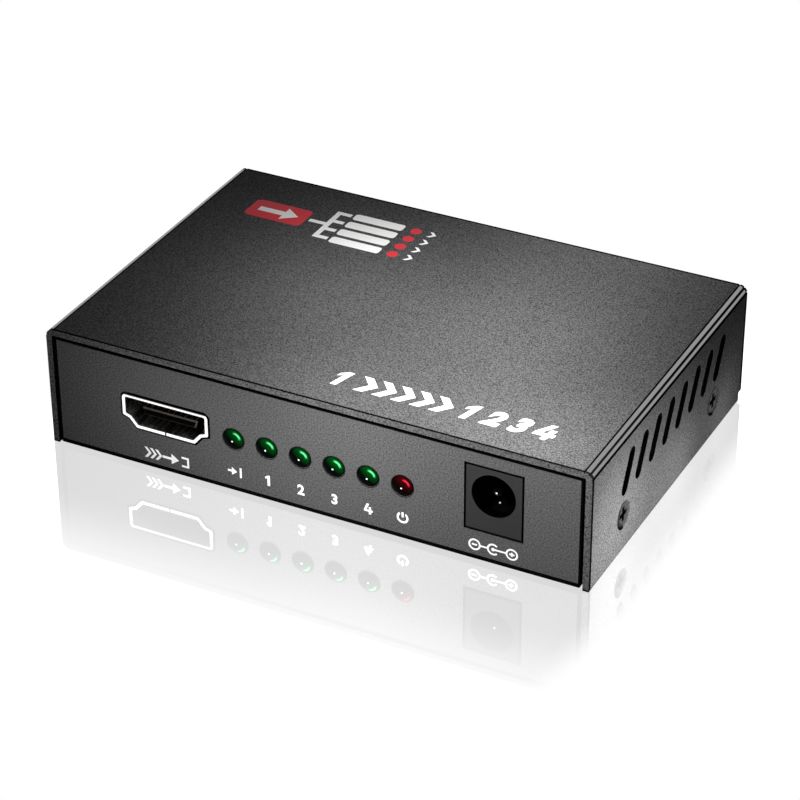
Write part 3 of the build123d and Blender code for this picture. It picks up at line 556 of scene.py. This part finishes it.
def makeLensGroup():
    # What shows in a lens: painted shade at the lower left and at the rim, a painted bright arc and a painted
    # white glint
    look = lampLook
    tree, given, result = makeGroup("Lens", {"Dark": (0, 0, 0, 1), "Body": (0, 0, 0, 1), "Arc": (1, 1, 1, 1)},
                                    {"Color": "Color"})
    spot = addNode(tree, "ShaderNodeUVMap", uv_map="lens").outputs["UV"]
    lean = addVector(tree, "DOT_PRODUCT", spot, look["lean"])
    color = mixColor(tree, addRange(tree, lean, 0, 1, look["leanFrom"], look["leanTo"]), given["Dark"],
                     given["Body"])
    rim = addRange(tree, addVector(tree, "LENGTH", spot), 0, 1, look["rim"], 1.0)
    color = mixColor(tree, rim, color, given["Dark"])
    fromArc = addVector(tree, "SUBTRACT", spot, look["arcPlace"])
    across, up, _ = splitVector(tree, fromArc)
    off = addMath(tree, "SUBTRACT", addVector(tree, "LENGTH", fromArc), look["arcRadius"])
    band = addRange(tree, addMath(tree, "ABSOLUTE", off), 1, 0, look["arcWidth"] * look["arcCore"],
                    look["arcWidth"])
    turn = addMath(tree, "SUBTRACT", addMath(tree, "ARCTAN2", up, across), math.radians(look["arcMiddle"]))
    ends = addRange(tree, addMath(tree, "ABSOLUTE", turn), 1, 0,
                    math.radians(look["arcSpread"] * look["arcFull"]), math.radians(look["arcSpread"]))
    color = mixColor(tree, addBoth(tree, band, ends), color, given["Arc"])
    core, blur = (look["glintRadius"] * look[key] for key in ("glintCore", "glintBlur"))
    glint = addRange(tree, addVector(tree, "DISTANCE", spot, look["glint"]), 1, 0, core, blur)
    giveValue(tree, result["Color"], mixColor(tree, glint, color, (1, 1, 1, 1)))
    return tree


def makeLensFinish(slot):
    look = lampLook
    material, tree = newMaterial(slot + "_lens")
    colors = {label: (*color, 1) for label, color in lampColors[slot].items()}
    lens = addNode(tree, "ShaderNodeGroup", colors, node_tree=lensGroup).outputs
    grain = addNode(tree, "ShaderNodeGroup", {
        "Size": look["grainSize"] * mm, "Depth": look["grainDepth"] * mm}, node_tree=grainGroup).outputs
    setShader(tree, {"Base Color": lens["Color"], "Specular IOR Level": look["specular"],
                     "Roughness": addRange(tree, grain["Mask"], *look["roughness"], 0, 1),
                     "Normal": grain["Normal"]})
    return material


def makeLens(node):
    look = lampLook
    low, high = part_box(node)
    middle = nodeMiddle(node)
    radius, dome, length = look["radius"] * mm, look["dome"] * mm, high.y - low.y
    flange, flangeRadius = length - look["flange"] * mm, look["flangeRadius"] * mm
    profile = [(0, 0)]
    for i in range(1, look["domeSteps"] + 1):
        turn = math.pi / 2 * i / look["domeSteps"]
        profile.append((radius * math.sin(turn), dome * (1 - math.cos(turn))))
    profile += [(radius, flange), (flangeRadius, flange), (flangeRadius, length), (0, length)]
    build = bmesh.new()
    place = Matrix.Translation((middle.x, low.y, middle.z)) @ Matrix.Rotation(-math.pi / 2, 4, "X")
    turnProfile(build, profile, look["steps"], place)
    layer = build.loops.layers.uv.new("lens")
    for face in build.faces:
        for loop in face.loops:
            spot = loop.vert.co
            loop[layer].uv = ((spot.x - middle.x) / radius, (spot.z - middle.z) / radius)
    slot = slotOf[node]
    ridePiece(node + "_lens", finishMesh(build, node + "_lens"), lensFinishes[slot], case, [node])


lensGroup = makeLensGroup()
lensFinishes = {slot: makeLensFinish(slot) for slot in lampColors}
lampNodes = [node for node, slot in slotOf.items() if slot in lampColors]
for node in lampNodes:
    makeLens(node)
print("lamps:", len(lampNodes))


# Case screws: countersunk, with a tapered cross recess and a rolled thread

screwLook = dict(headRadius=2.05, headHeight=0.8, edge=0.06, shank=1.0, ridge=0.2, pitch=0.5, length=5.0,
                 point=0.35, crossLength=2.7, crossWidth=0.9, crossDepth=0.75, crossTaper=0.5, steps=48,
                 threadSteps=24, ridgeSides=6)


def makeThreadTree():
    # A helix of the thread's ridge, from its radius, rise and number of turns
    tree, given, result = makeGroup(
        "Thread", {"Geometry": "Geometry", "Radius": 0.0, "Ridge": 0.0, "Length": 0.0, "Turns": 0.0,
                   "Material": "Material"}, {"Geometry": "Geometry"}, "GeometryNodeTree")
    spiral = addNode(tree, "GeometryNodeCurveSpiral", {
        "Resolution": screwLook["threadSteps"], "Rotations": given["Turns"], "Start Radius": given["Radius"],
        "End Radius": given["Radius"], "Height": given["Length"]}).outputs
    ridge = addNode(tree, "GeometryNodeCurvePrimitiveCircle", {
        "Resolution": screwLook["ridgeSides"], "Radius": given["Ridge"]}).outputs
    sweep = addNode(tree, "GeometryNodeCurveToMesh", {
        "Curve": spiral["Curve"], "Profile Curve": ridge["Curve"], "Fill Caps": True}).outputs
    real = addNode(tree, "GeometryNodeRealizeInstances", {"Geometry": sweep["Mesh"]}).outputs
    paint = addNode(tree, "GeometryNodeSetMaterial", {
        "Geometry": real["Geometry"], "Material": given["Material"]}).outputs
    giveValue(tree, result["Geometry"], paint["Geometry"])
    return tree


def setInputs(modifier, **values):
    # Named inputs of a node tree, set by their sockets' identifiers
    for item in modifier.node_group.interface.items_tree:
        if item.in_out == "INPUT" and item.name in values:
            modifier[item.identifier] = values[item.name]


def makeThread():
    look = screwLook
    holder = linkObject("thread", bpy.data.meshes.new("thread"))
    modifier = holder.modifiers.new("thread", "NODES")
    modifier.node_group = makeThreadTree()
    rise = look["length"] - look["headHeight"] - look["point"] - 2 * look["ridge"]
    setInputs(modifier, Radius=(look["shank"] + look["ridge"] / 4) * mm, Ridge=look["ridge"] * mm,
              Length=rise * mm, Turns=rise / look["pitch"], Material=materials["screw_black"])
    return bakeObject(holder)


def makeScrewMesh():
    # Upright, with the head's face at Z = 0 and the point down
    look = screwLook
    head, shank, length = look["headRadius"], look["shank"], look["length"]
    profile = [(0, 0), (head - look["edge"], 0), (head, -look["edge"]), (shank, -look["headHeight"]),
               (shank, look["point"] - length), (shank - look["point"], -length), (0, -length)]
    build = bmesh.new()
    turnProfile(build, [(r * mm, z * mm) for r, z in profile], look["steps"])
    body = linkObject("screwBody", finishMesh(build, "screwBody"))
    cutters = []
    for turn in (0, math.pi / 2):
        build = bmesh.new()
        bmesh.ops.create_cube(build, size=1)
        for corner in build.verts:
            x, y, z = corner.co
            taper, z = (look["crossTaper"], -look["crossDepth"]) if z < 0 else (1, look["edge"])
            corner.co = Vector((x * look["crossLength"] * taper, y * look["crossWidth"] * taper, z)) * mm
        bmesh.ops.rotate(build, matrix=Matrix.Rotation(turn, 3, "Z"), verts=build.verts)
        cutter = linkObject("crossArm", finishMesh(build, "crossArm"))
        cut = body.modifiers.new("cut", "BOOLEAN")
        cut.operation, cut.solver, cut.object = "DIFFERENCE", "EXACT", cutter
        cutters.append(cutter)
    return bakeObject(body, *cutters)


def makeCaseScrews():
    nodes = [node for node in frame["nodes"] if node.startswith("case_screw_")]
    bodyMesh, threadMesh = makeScrewMesh(), makeThread()
    drop = Vector((0, 0, (screwLook["point"] + screwLook["ridge"] - screwLook["length"]) * mm))
    for node in nodes:
        low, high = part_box(node)
        middle = nodeMiddle(node)
        side = math.copysign(1, middle.x)
        build = bmesh.new()
        build.from_mesh(bodyMesh)
        first = len(build.verts)
        build.from_mesh(threadMesh)
        build.verts.ensure_lookup_table()
        bmesh.ops.translate(build, vec=drop, verts=build.verts[first:])
        face = Vector((high.x if side > 0 else low.x, middle.y, middle.z))
        place = Matrix.Translation(face) @ Matrix.Rotation(side * math.pi / 2, 4, "Y")
        bmesh.ops.transform(build, matrix=place, verts=build.verts)
        mesh = finishMesh(build, node + "_turned")
        ridePiece(node + "_turned", mesh, screwFinish, bodyOf[node], [node])
    print("case screws:", len(nodes))


makeCaseScrews()


# Printed marks: thin white, red and dark shapes on the sheets; the dark ones are painted shade. Their sizes
# are in millimetres, with x to the right and y up, as read by someone who faces the sheet

markLook = dict(thickness=0.008, gap=0.002, merge=0.002, bold=0.035, curveSteps=6)
markColors = {"white": (0.95, 0.95, 0.94), "red": (0.62, 0.03, 0.045), "dark": (0.001, 0.001, 0.001)}
markPaint = dict(specular=0.1, roughness=(0.4, 0.5), grainSize=0.25, grainDepth=0.004, contrast=0.05,
                 cloudSize=6, cloudContrast=0.04)
markFinishes = {name: makeFinish("mark_" + name, dict(markPaint, color=color))
                for name, color in markColors.items()}


def rectangle(x, y, width, height):
    # From the middle of its left edge
    low, high = y - height / 2, y + height / 2
    return [(x, low), (x + width, low), (x + width, high), (x, high)]


def roundedBlock(x, y, width, height, corner, steps=6):
    # From the middle of its left edge
    left, right = x + corner, x + width - corner
    low, high = y - height / 2 + corner, y + height / 2 - corner
    return [onCircle(*middle, corner, math.pi / 2 * (quarter + i / steps))
            for quarter, middle in enumerate([(right, high), (left, high), (left, low), (right, low)])
            for i in range(steps + 1)]


def arrow(x, y, length, height, shaft, head):
    # Points to the right from the left end of its shaft
    neck = x + length - head
    return [(x, y - shaft / 2), (neck, y - shaft / 2), (neck, y - height / 2), (x + length, y),
            (neck, y + height / 2), (neck, y + shaft / 2), (x, y + shaft / 2)]


def chevron(x, y, height, width, line):
    low, high = y - height / 2, y + height / 2
    return [(x, low), (x + line, low), (x + line + width, y), (x + line, high), (x, high), (x + width, y)]


def arcBand(x, y, radius, line, start, stop, steps=40):
    # A ring or part of one, between two angles in degrees
    turns = [math.radians(start + (stop - start) * i / steps) for i in range(steps + 1)]
    return ([onCircle(x, y, radius + line / 2, turn) for turn in turns]
            + [onCircle(x, y, radius - line / 2, turn) for turn in reversed(turns)])


def ringBands(x, y, radius, line):
    return [arcBand(x, y, radius, line, start, start + 180) for start in (0, 180)]


def disc(x, y, radius, steps=32):
    return [onCircle(x, y, radius, 2 * math.pi * i / steps) for i in range(steps)]


# Outlines of the two digits that the built-in letters draw too thin, on a height of 1
drawnDigits = {
    "1": [(0.2, 0), (0.44, 0), (0.44, 1), (0.26, 1), (0, 0.82), (0, 0.62), (0.2, 0.74)],
    "4": [(0.24, 1), (0.48, 1), (0.24, 0.42), (0.44, 0.42), (0.44, 0.7), (0.66, 0.7), (0.66, 0.42),
          (0.8, 0.42), (0.8, 0.22), (0.66, 0.22), (0.66, 0), (0.44, 0), (0.44, 0.22), (0, 0.22), (0, 0.4)],
}


def numberShapes(number, x, y, height, bold=markLook["bold"], lean=0.0):
    # Polygons of a plain digit, with its middle at x, y and the given height
    text = str(number)
    if text in drawnDigits:
        points = drawnDigits[text]
        middle = max(px for px, py in points) / 2
        return [[(x + (px - middle + (py - 0.5) * lean) * height, y + (py - 0.5) * height)
                 for px, py in points]]
    curve = bpy.data.curves.new("number", "FONT")
    curve.body, curve.shear, curve.offset, curve.resolution_u = text, lean, bold, markLook["curveSteps"]
    mesh = bakeObject(linkObject("number", curve))
    xs, ys = [v.co.x for v in mesh.vertices], [v.co.y for v in mesh.vertices]
    scale = height / (max(ys) - min(ys))
    middleX, middleY = (max(xs) + min(xs)) / 2, (max(ys) + min(ys)) / 2
    points = [(x + (px - middleX) * scale, y + (py - middleY) * scale) for px, py in zip(xs, ys)]
    return [[points[i] for i in face.vertices] for face in mesh.polygons]


def printMarks(name, color, shapes, place):
    # Flat shapes, given a little thickness and put in place on a sheet
    build = bmesh.new()
    for points in shapes:
        build.faces.new([build.verts.new((px * mm, py * mm, 0)) for px, py in points])
    bmesh.ops.remove_doubles(build, verts=build.verts, dist=markLook["merge"] * mm)
    bmesh.ops.recalc_face_normals(build, faces=build.faces)
    bmesh.ops.triangulate(build, faces=[face for face in build.faces if len(face.verts) > 4])
    top = bmesh.ops.extrude_face_region(build, geom=list(build.faces))
    lift = [part for part in top["geom"] if isinstance(part, bmesh.types.BMVert)]
    bmesh.ops.translate(build, vec=(0, 0, markLook["thickness"] * mm), verts=lift)
    bmesh.ops.transform(build, matrix=place, verts=build.verts)
    ridePiece(name, finishMesh(build, name), markFinishes[color], case)


upright = Matrix.Rotation(math.pi / 2, 4, "X")
topSheet = Matrix.Translation((0, 0, cadHigh.z + markLook["gap"] * mm))
frontSheet = Matrix.Translation((0, trayLow.y - markLook["gap"] * mm, 0)) @ upright
rearSheet = (Matrix.Translation((0, trayHigh.y + markLook["gap"] * mm, 0)) @ Matrix.Rotation(math.pi, 4, "Z")
             @ upright)

# Front legends: z is the height of their middles
legendLine = 0.34
bracketLook = dict(z=2.7, height=1.85, width=7.9, shift=-0.1, count=3, pitch=0.95, chevron=(0.75, 0.5),
                   arrowAt=3.2, arrowLength=2.9, shaft=legendLine * 1.3, head=1.3, hook=1.3)
entryLook = dict(z=3.65, height=1.75, width=2.4, arrowLength=1.6, arrowHeight=1.4, head=0.9)


def entryShapes():
    # Into a bracket, under the input socket, and a smaller one under its lamp
    look = bracketLook
    line, z, height, width, hook = (legendLine, *(look[k] for k in ("z", "height", "width", "hook")))
    x = nodeMiddle("input_socket_shell").x / mm - width / 2 + look["shift"]
    shapes = [chevron(x + look["pitch"] * i, z, height, *look["chevron"]) for i in range(look["count"])]
    shapes += [arrow(x + look["arrowAt"], z, look["arrowLength"], height, look["shaft"], look["head"]),
               rectangle(x + width - hook, z + height / 2 - line / 2, hook, line),
               rectangle(x + width - hook, z - height / 2 + line / 2, hook, line),
               rectangle(x + width - line, z, line, height - 2 * line)]
    look = entryLook
    z, height, width = (look[k] for k in ("z", "height", "width"))
    x = nodeMiddle("lamp_input").x / mm - width / 2
    return shapes + [arrow(x, z, look["arrowLength"], look["arrowHeight"], line, look["head"]),
                     rectangle(x + width - line, z, line, height)]


powerLook = dict(z=3.95, radius=0.8, drop=0.1, start=125, stop=415, stem=0.88)


def powerShapes():
    # On and off, under the last lamp
    look = powerLook
    x, z, radius = nodeMiddle("lamp_power").x / mm, look["z"], look["radius"]
    return [arcBand(x, z - look["drop"], radius, legendLine, look["start"], look["stop"]),
            rectangle(x - legendLine / 2, z + radius / 2, legendLine, look["stem"])]


poleLook = dict(z=2.72, radius=0.85, line=legendLine * 0.85, spread=3.0, start=45, stop=315, dot=0.3)


def poleShapes():
    # Which pole of the plug is the middle one, under the jack
    look = poleLook
    x, z, radius = nodeMiddle("power_jack_body").x / mm, look["z"], look["radius"]
    thin, spread, dot = look["line"], look["spread"], look["dot"]
    shapes = []
    for middle in (x - spread, x + spread):
        shapes += ringBands(middle, z, radius, thin)
        shapes.append(rectangle(middle - radius / 2, z, radius, thin))
    shapes += [rectangle(x + spread - thin / 2, z + side * (thin / 2 + radius / 8), thin, radius / 4)
               for side in (1, -1)]
    return shapes + [arcBand(x, z, radius, thin, look["start"], look["stop"]), disc(x, z, dot),
                     rectangle(x - spread + radius + thin / 2, z, spread - 2 * radius - thin, thin),
                     rectangle(x + dot, z, spread - dot - radius - thin / 2, thin)]


digitLook = dict(z=3.7, height=1.8)
lampRing = dict(radius=1.86, line=0.14, drop=0.08)


def makeFrontMarks():
    shapes = entryShapes()
    for number in range(1, 5):
        middle = nodeMiddle(f"lamp_output_{number}").x / mm
        shapes += numberShapes(number, middle, digitLook["z"], digitLook["height"])
    printMarks("front_legends", "white", shapes + powerShapes() + poleShapes(), frontSheet)
    # Painted shade: a dark ring round each lamp's hole
    rings = []
    for node in lampNodes:
        middle = nodeMiddle(node) / mm
        rings += ringBands(middle.x, middle.z - lampRing["drop"], lampRing["radius"], lampRing["line"])
    printMarks("lamp_hole_shadow_rings", "dark", rings, frontSheet)


# One in and four out, at the rear left of the top
treeLook = dict(left=-37.0, low=13.4, high=23.8, line=0.9, gap=0.5, rootWidth=10.4, rootHeight=5.6,
                rootCorner=1.0, arrowInset=1.6, arrowLower=1.8, shaft=1.3, head=2.6, trunk=3.4, twig=3.2,
                blockWidth=9.0, blockHeight=2.0, blockCorner=0.5, dotAt=2.2, dotRadius=0.95, chevronAt=4.4,
                chevron=(1.7, 0.8, 0.6))


def makeTree():
    look = treeLook
    low, high, line, gap = (look[k] for k in ("low", "high", "line", "gap"))
    width, height = look["blockWidth"], look["blockHeight"]
    middle = (low + high) / 2
    root = look["left"] + look["rootWidth"]
    trunk = root + look["trunk"]
    blocks = trunk + look["twig"]
    rows = [low + height / 2 + i * (high - low - height) / 3 for i in range(4)]
    white = [rectangle(root + gap, middle, trunk - root - gap, line),
             rectangle(trunk, middle, line, rows[3] - rows[0] + line)]
    red = [roundedBlock(look["left"], middle, look["rootWidth"], look["rootHeight"], look["rootCorner"])]
    for y in rows:
        white += [rectangle(trunk + line, y, blocks - trunk - line - gap, line),
                  roundedBlock(blocks, y, width, height, look["blockCorner"]),
                  chevron(blocks + width + look["chevronAt"], y, *look["chevron"])]
        red.append(disc(blocks + width + look["dotAt"], y, look["dotRadius"]))
    white.append(arrow(look["left"] + look["arrowInset"], middle, look["rootWidth"] - 2 * look["arrowInset"],
                       look["rootHeight"] - look["arrowLower"], look["shaft"], look["head"]))
    raised = Matrix.Translation((0, 0, markLook["thickness"] * mm)) @ topSheet
    printMarks("top_tree_lines", "white", white, raised)
    printMarks("top_tree_blocks", "red", red, topSheet)


# One to four in plain numbers, at the front right of the top
ratioLook = dict(left=-0.6, right=37.3, y=-22.8, height=4.1, lean=0.28, bold=0.05, pitch=4.2, chevrons=5,
                 chevronAt=1.25, chevronPitch=3.1, chevron=(1.7, 1.5))


def makeRatio():
    look = ratioLook
    y, height, lean, pitch = (look[k] for k in ("y", "height", "lean", "pitch"))
    shapes = numberShapes(1, look["left"] + pitch / 2, y, height, lean=lean)
    for i in range(look["chevrons"]):
        x = look["left"] + pitch * look["chevronAt"] + i * look["chevronPitch"]
        shapes.append(chevron(x, y, height, *look["chevron"]))
    for number in range(1, 5):
        shapes += numberShapes(number, look["right"] - pitch * (4.5 - number), y, height, look["bold"], lean)
    printMarks("top_ratio", "white", shapes, topSheet)


rearLook = dict(z=3.2, height=1.8, chevronAt=1.6, chevron=(1.5, 0.6, 0.4))


def makeRearMarks():
    look = rearLook
    shapes = []
    for number in range(1, 5):
        x = -nodeMiddle(f"output_{number}_socket_shell").x / mm
        shapes += numberShapes(number, x, look["z"], look["height"])
        shapes.append(chevron(x + look["chevronAt"], look["z"], *look["chevron"]))
    printMarks("rear_legends", "white", shapes, rearSheet)


makeFrontMarks()
makeTree()
makeRatio()
makeRearMarks()
print("marks printed")


# Floor, light and camera

def whereSeen(tree):
    # 1 where the camera, a mirror or a glass looks
    path = addNode(tree, "ShaderNodeLightPath").outputs
    return addEither(tree, path["Is Camera Ray"], path["Is Glossy Ray"], path["Is Transmission Ray"])


# The mirror image of the case fades out between near and far, squeezed beside the case's ends
floorLook = dict(size=4.0, light=0.35, dim=0.3, mirror=0.78, mirrorRoughness=0.03, near=9 * mm, far=30 * mm,
                 squeeze=4.0)


def makeFloor():
    look = floorLook
    half = look["size"] / 2
    corners = [(-half, -half, 0), (half, -half, 0), (half, half, 0), (-half, half, 0)]
    mesh = bpy.data.meshes.new("floor")
    mesh.from_pydata(corners, [], [(0, 1, 2, 3)])
    material, tree = newMaterial("floor")
    mesh.materials.append(material)
    setShader(tree, {"Base Color": (*[look["light"]] * 3, 1), "Roughness": 1, "Specular IOR Level": 0})
    # Where it is seen, it is white, dimmed by a painted shadow and mirroring near the case
    place = addNode(tree, "ShaderNodeTexCoord").outputs["Object"]
    offset = addVector(tree, "SUBTRACT", addVector(tree, "ABSOLUTE", place), (cadHigh.x, cadHigh.y, 0))
    offset = addVector(tree, "MULTIPLY", addVector(tree, "MAXIMUM", offset, (0, 0, 0)),
                       (look["squeeze"], 1, 1))
    near = addRange(tree, addVector(tree, "LENGTH", offset), 1, 0, look["near"], look["far"])
    near.node.interpolation_type = "SMOOTHSTEP"
    white = addNode(tree, "ShaderNodeEmission", {"Strength": addRange(tree, near, 1, 1 - look["dim"], 0, 1)})
    gloss = addNode(tree, "ShaderNodeBsdfGlossy", {
        "Roughness": look["mirrorRoughness"], "Color": addRange(tree, near, 0, look["mirror"], 0, 1)})
    surface = addNode(tree, "ShaderNodeAddShader", {0: white.outputs[0], 1: gloss.outputs[0]})
    both = addNode(tree, "ShaderNodeMixShader", {
        0: whereSeen(tree), 1: tree.nodes["Principled BSDF"].outputs["BSDF"], 2: surface.outputs[0]})
    giveValue(tree, tree.nodes["Material Output"].inputs["Surface"], both.outputs[0])
    linkObject("floor", mesh)


worldLook = dict(seen=1.0, light=0.08)


def makeWorld():
    # White where it is seen, mirrored or looked through, dimmer as a light
    world = bpy.data.worlds.new("studio")
    bpy.context.scene.world = world
    world.use_nodes = True
    tree = world.node_tree
    background = tree.nodes["Background"].inputs
    giveValue(tree, background["Color"], (1, 1, 1, 1))
    giveValue(tree, background["Strength"],
              addRange(tree, whereSeen(tree), worldLook["light"], worldLook["seen"], 0, 1))


# A lamp of strength 1 lights the spot that it is aimed at as a plain white sky does; lengths in millimetres
lamps = [
    dict(name="topLeftLamp", place=(-10, 0, 40), aim=(-10, 0, 20), size=(24, 24), strength=1.45),
    dict(name="topMiddleLamp", place=(5, -30, 40), aim=(5, -30, 20), size=(24, 24), strength=2.35),
    dict(name="topRightLamp", place=(20, 0, 40), aim=(20, 0, 20), size=(24, 24), strength=2.5),
    dict(name="topRearLamp", place=(20, 30, 40), aim=(20, 30, 20), size=(24, 24), strength=1.4),
    dict(name="topFrontLamp", place=(35, -30, 40), aim=(35, -30, 20), size=(24, 24), strength=4.69),
    dict(name="frontLeftLamp", place=(-25, -50, 14), aim=(-25, -30, 10), size=(24, 16), strength=0.59),
    dict(name="frontMiddleLamp", place=(-5, -50, 6), aim=(-5, -30, 10), size=(24, 16), strength=0.75),
    dict(name="frontLamp", place=(10, -50, 22), aim=(10, -30, 10), size=(24, 16), strength=1.71),
    dict(name="frontRightLamp", place=(45, -50, 22), aim=(45, -30, 10), size=(24, 16), strength=0.96),
    dict(name="sideRearLamp", place=(54, 21, 1), aim=(45.5, 20, 4), size=(8, 2), strength=1.2),
    dict(name="sideMiddleLamp", place=(58, 4, 1), aim=(45.5, -4, 0), size=(6, 2), strength=1.63),
    dict(name="sideFrontLamp", place=(66, -20, 8), aim=(45.5, -28, 0), size=(6, 2), strength=3.3),
    dict(name="rearLamp", place=(-150, 190, 11), aim=(-20, 20, 10), size=(160, 16), strength=1.2),
]


def makeLamps():
    for lamp in lamps:
        place, aim = (Vector(lamp[k]) * mm for k in ("place", "aim"))
        data = bpy.data.lights.new(lamp["name"], "AREA")
        data.shape = "RECTANGLE"
        data.size, data.size_y = (side * mm for side in lamp["size"])
        data.energy = lamp["strength"] * (math.pi * (aim - place).length) ** 2
        light = linkObject(lamp["name"], data)
        light.location = place
        light.rotation_euler = (aim - place).to_track_quat("-Z", "Y").to_euler()
        light.visible_camera = False
        light.visible_glossy = False


# The camera looks from the front right, a little rolled; its offset is in metres along its own axes
cameraLook = dict(azimuth=27.099, elevation=31.767, roll=-0.279, lens=130.75,
                  offset=(-0.000188, 0.002888, 0.458697), clipStart=0.01)


def makeCamera():
    look = cameraLook
    azimuth, elevation, roll = (math.radians(look[k]) for k in ("azimuth", "elevation", "roll"))
    back = Vector((math.sin(azimuth) * math.cos(elevation), -math.cos(azimuth) * math.cos(elevation),
                   math.sin(elevation)))
    level = Vector((math.cos(azimuth), math.sin(azimuth), 0))
    rise = back.cross(level)
    right = math.cos(roll) * level + math.sin(roll) * rise
    up = math.cos(roll) * rise - math.sin(roll) * level
    turn = Matrix((right, up, back)).transposed()
    data = bpy.data.cameras.new("camera")
    data.lens = look["lens"]
    data.clip_start = look["clipStart"]
    camera = linkObject("camera", data)
    camera.matrix_world = Matrix.Translation(turn @ Vector(look["offset"])) @ turn.to_4x4()
    bpy.context.scene.camera = camera


makeFloor()
makeWorld()
makeLamps()
makeCamera()
bpy.context.scene.view_settings.view_transform = "Standard"
print("floor, light and camera made")
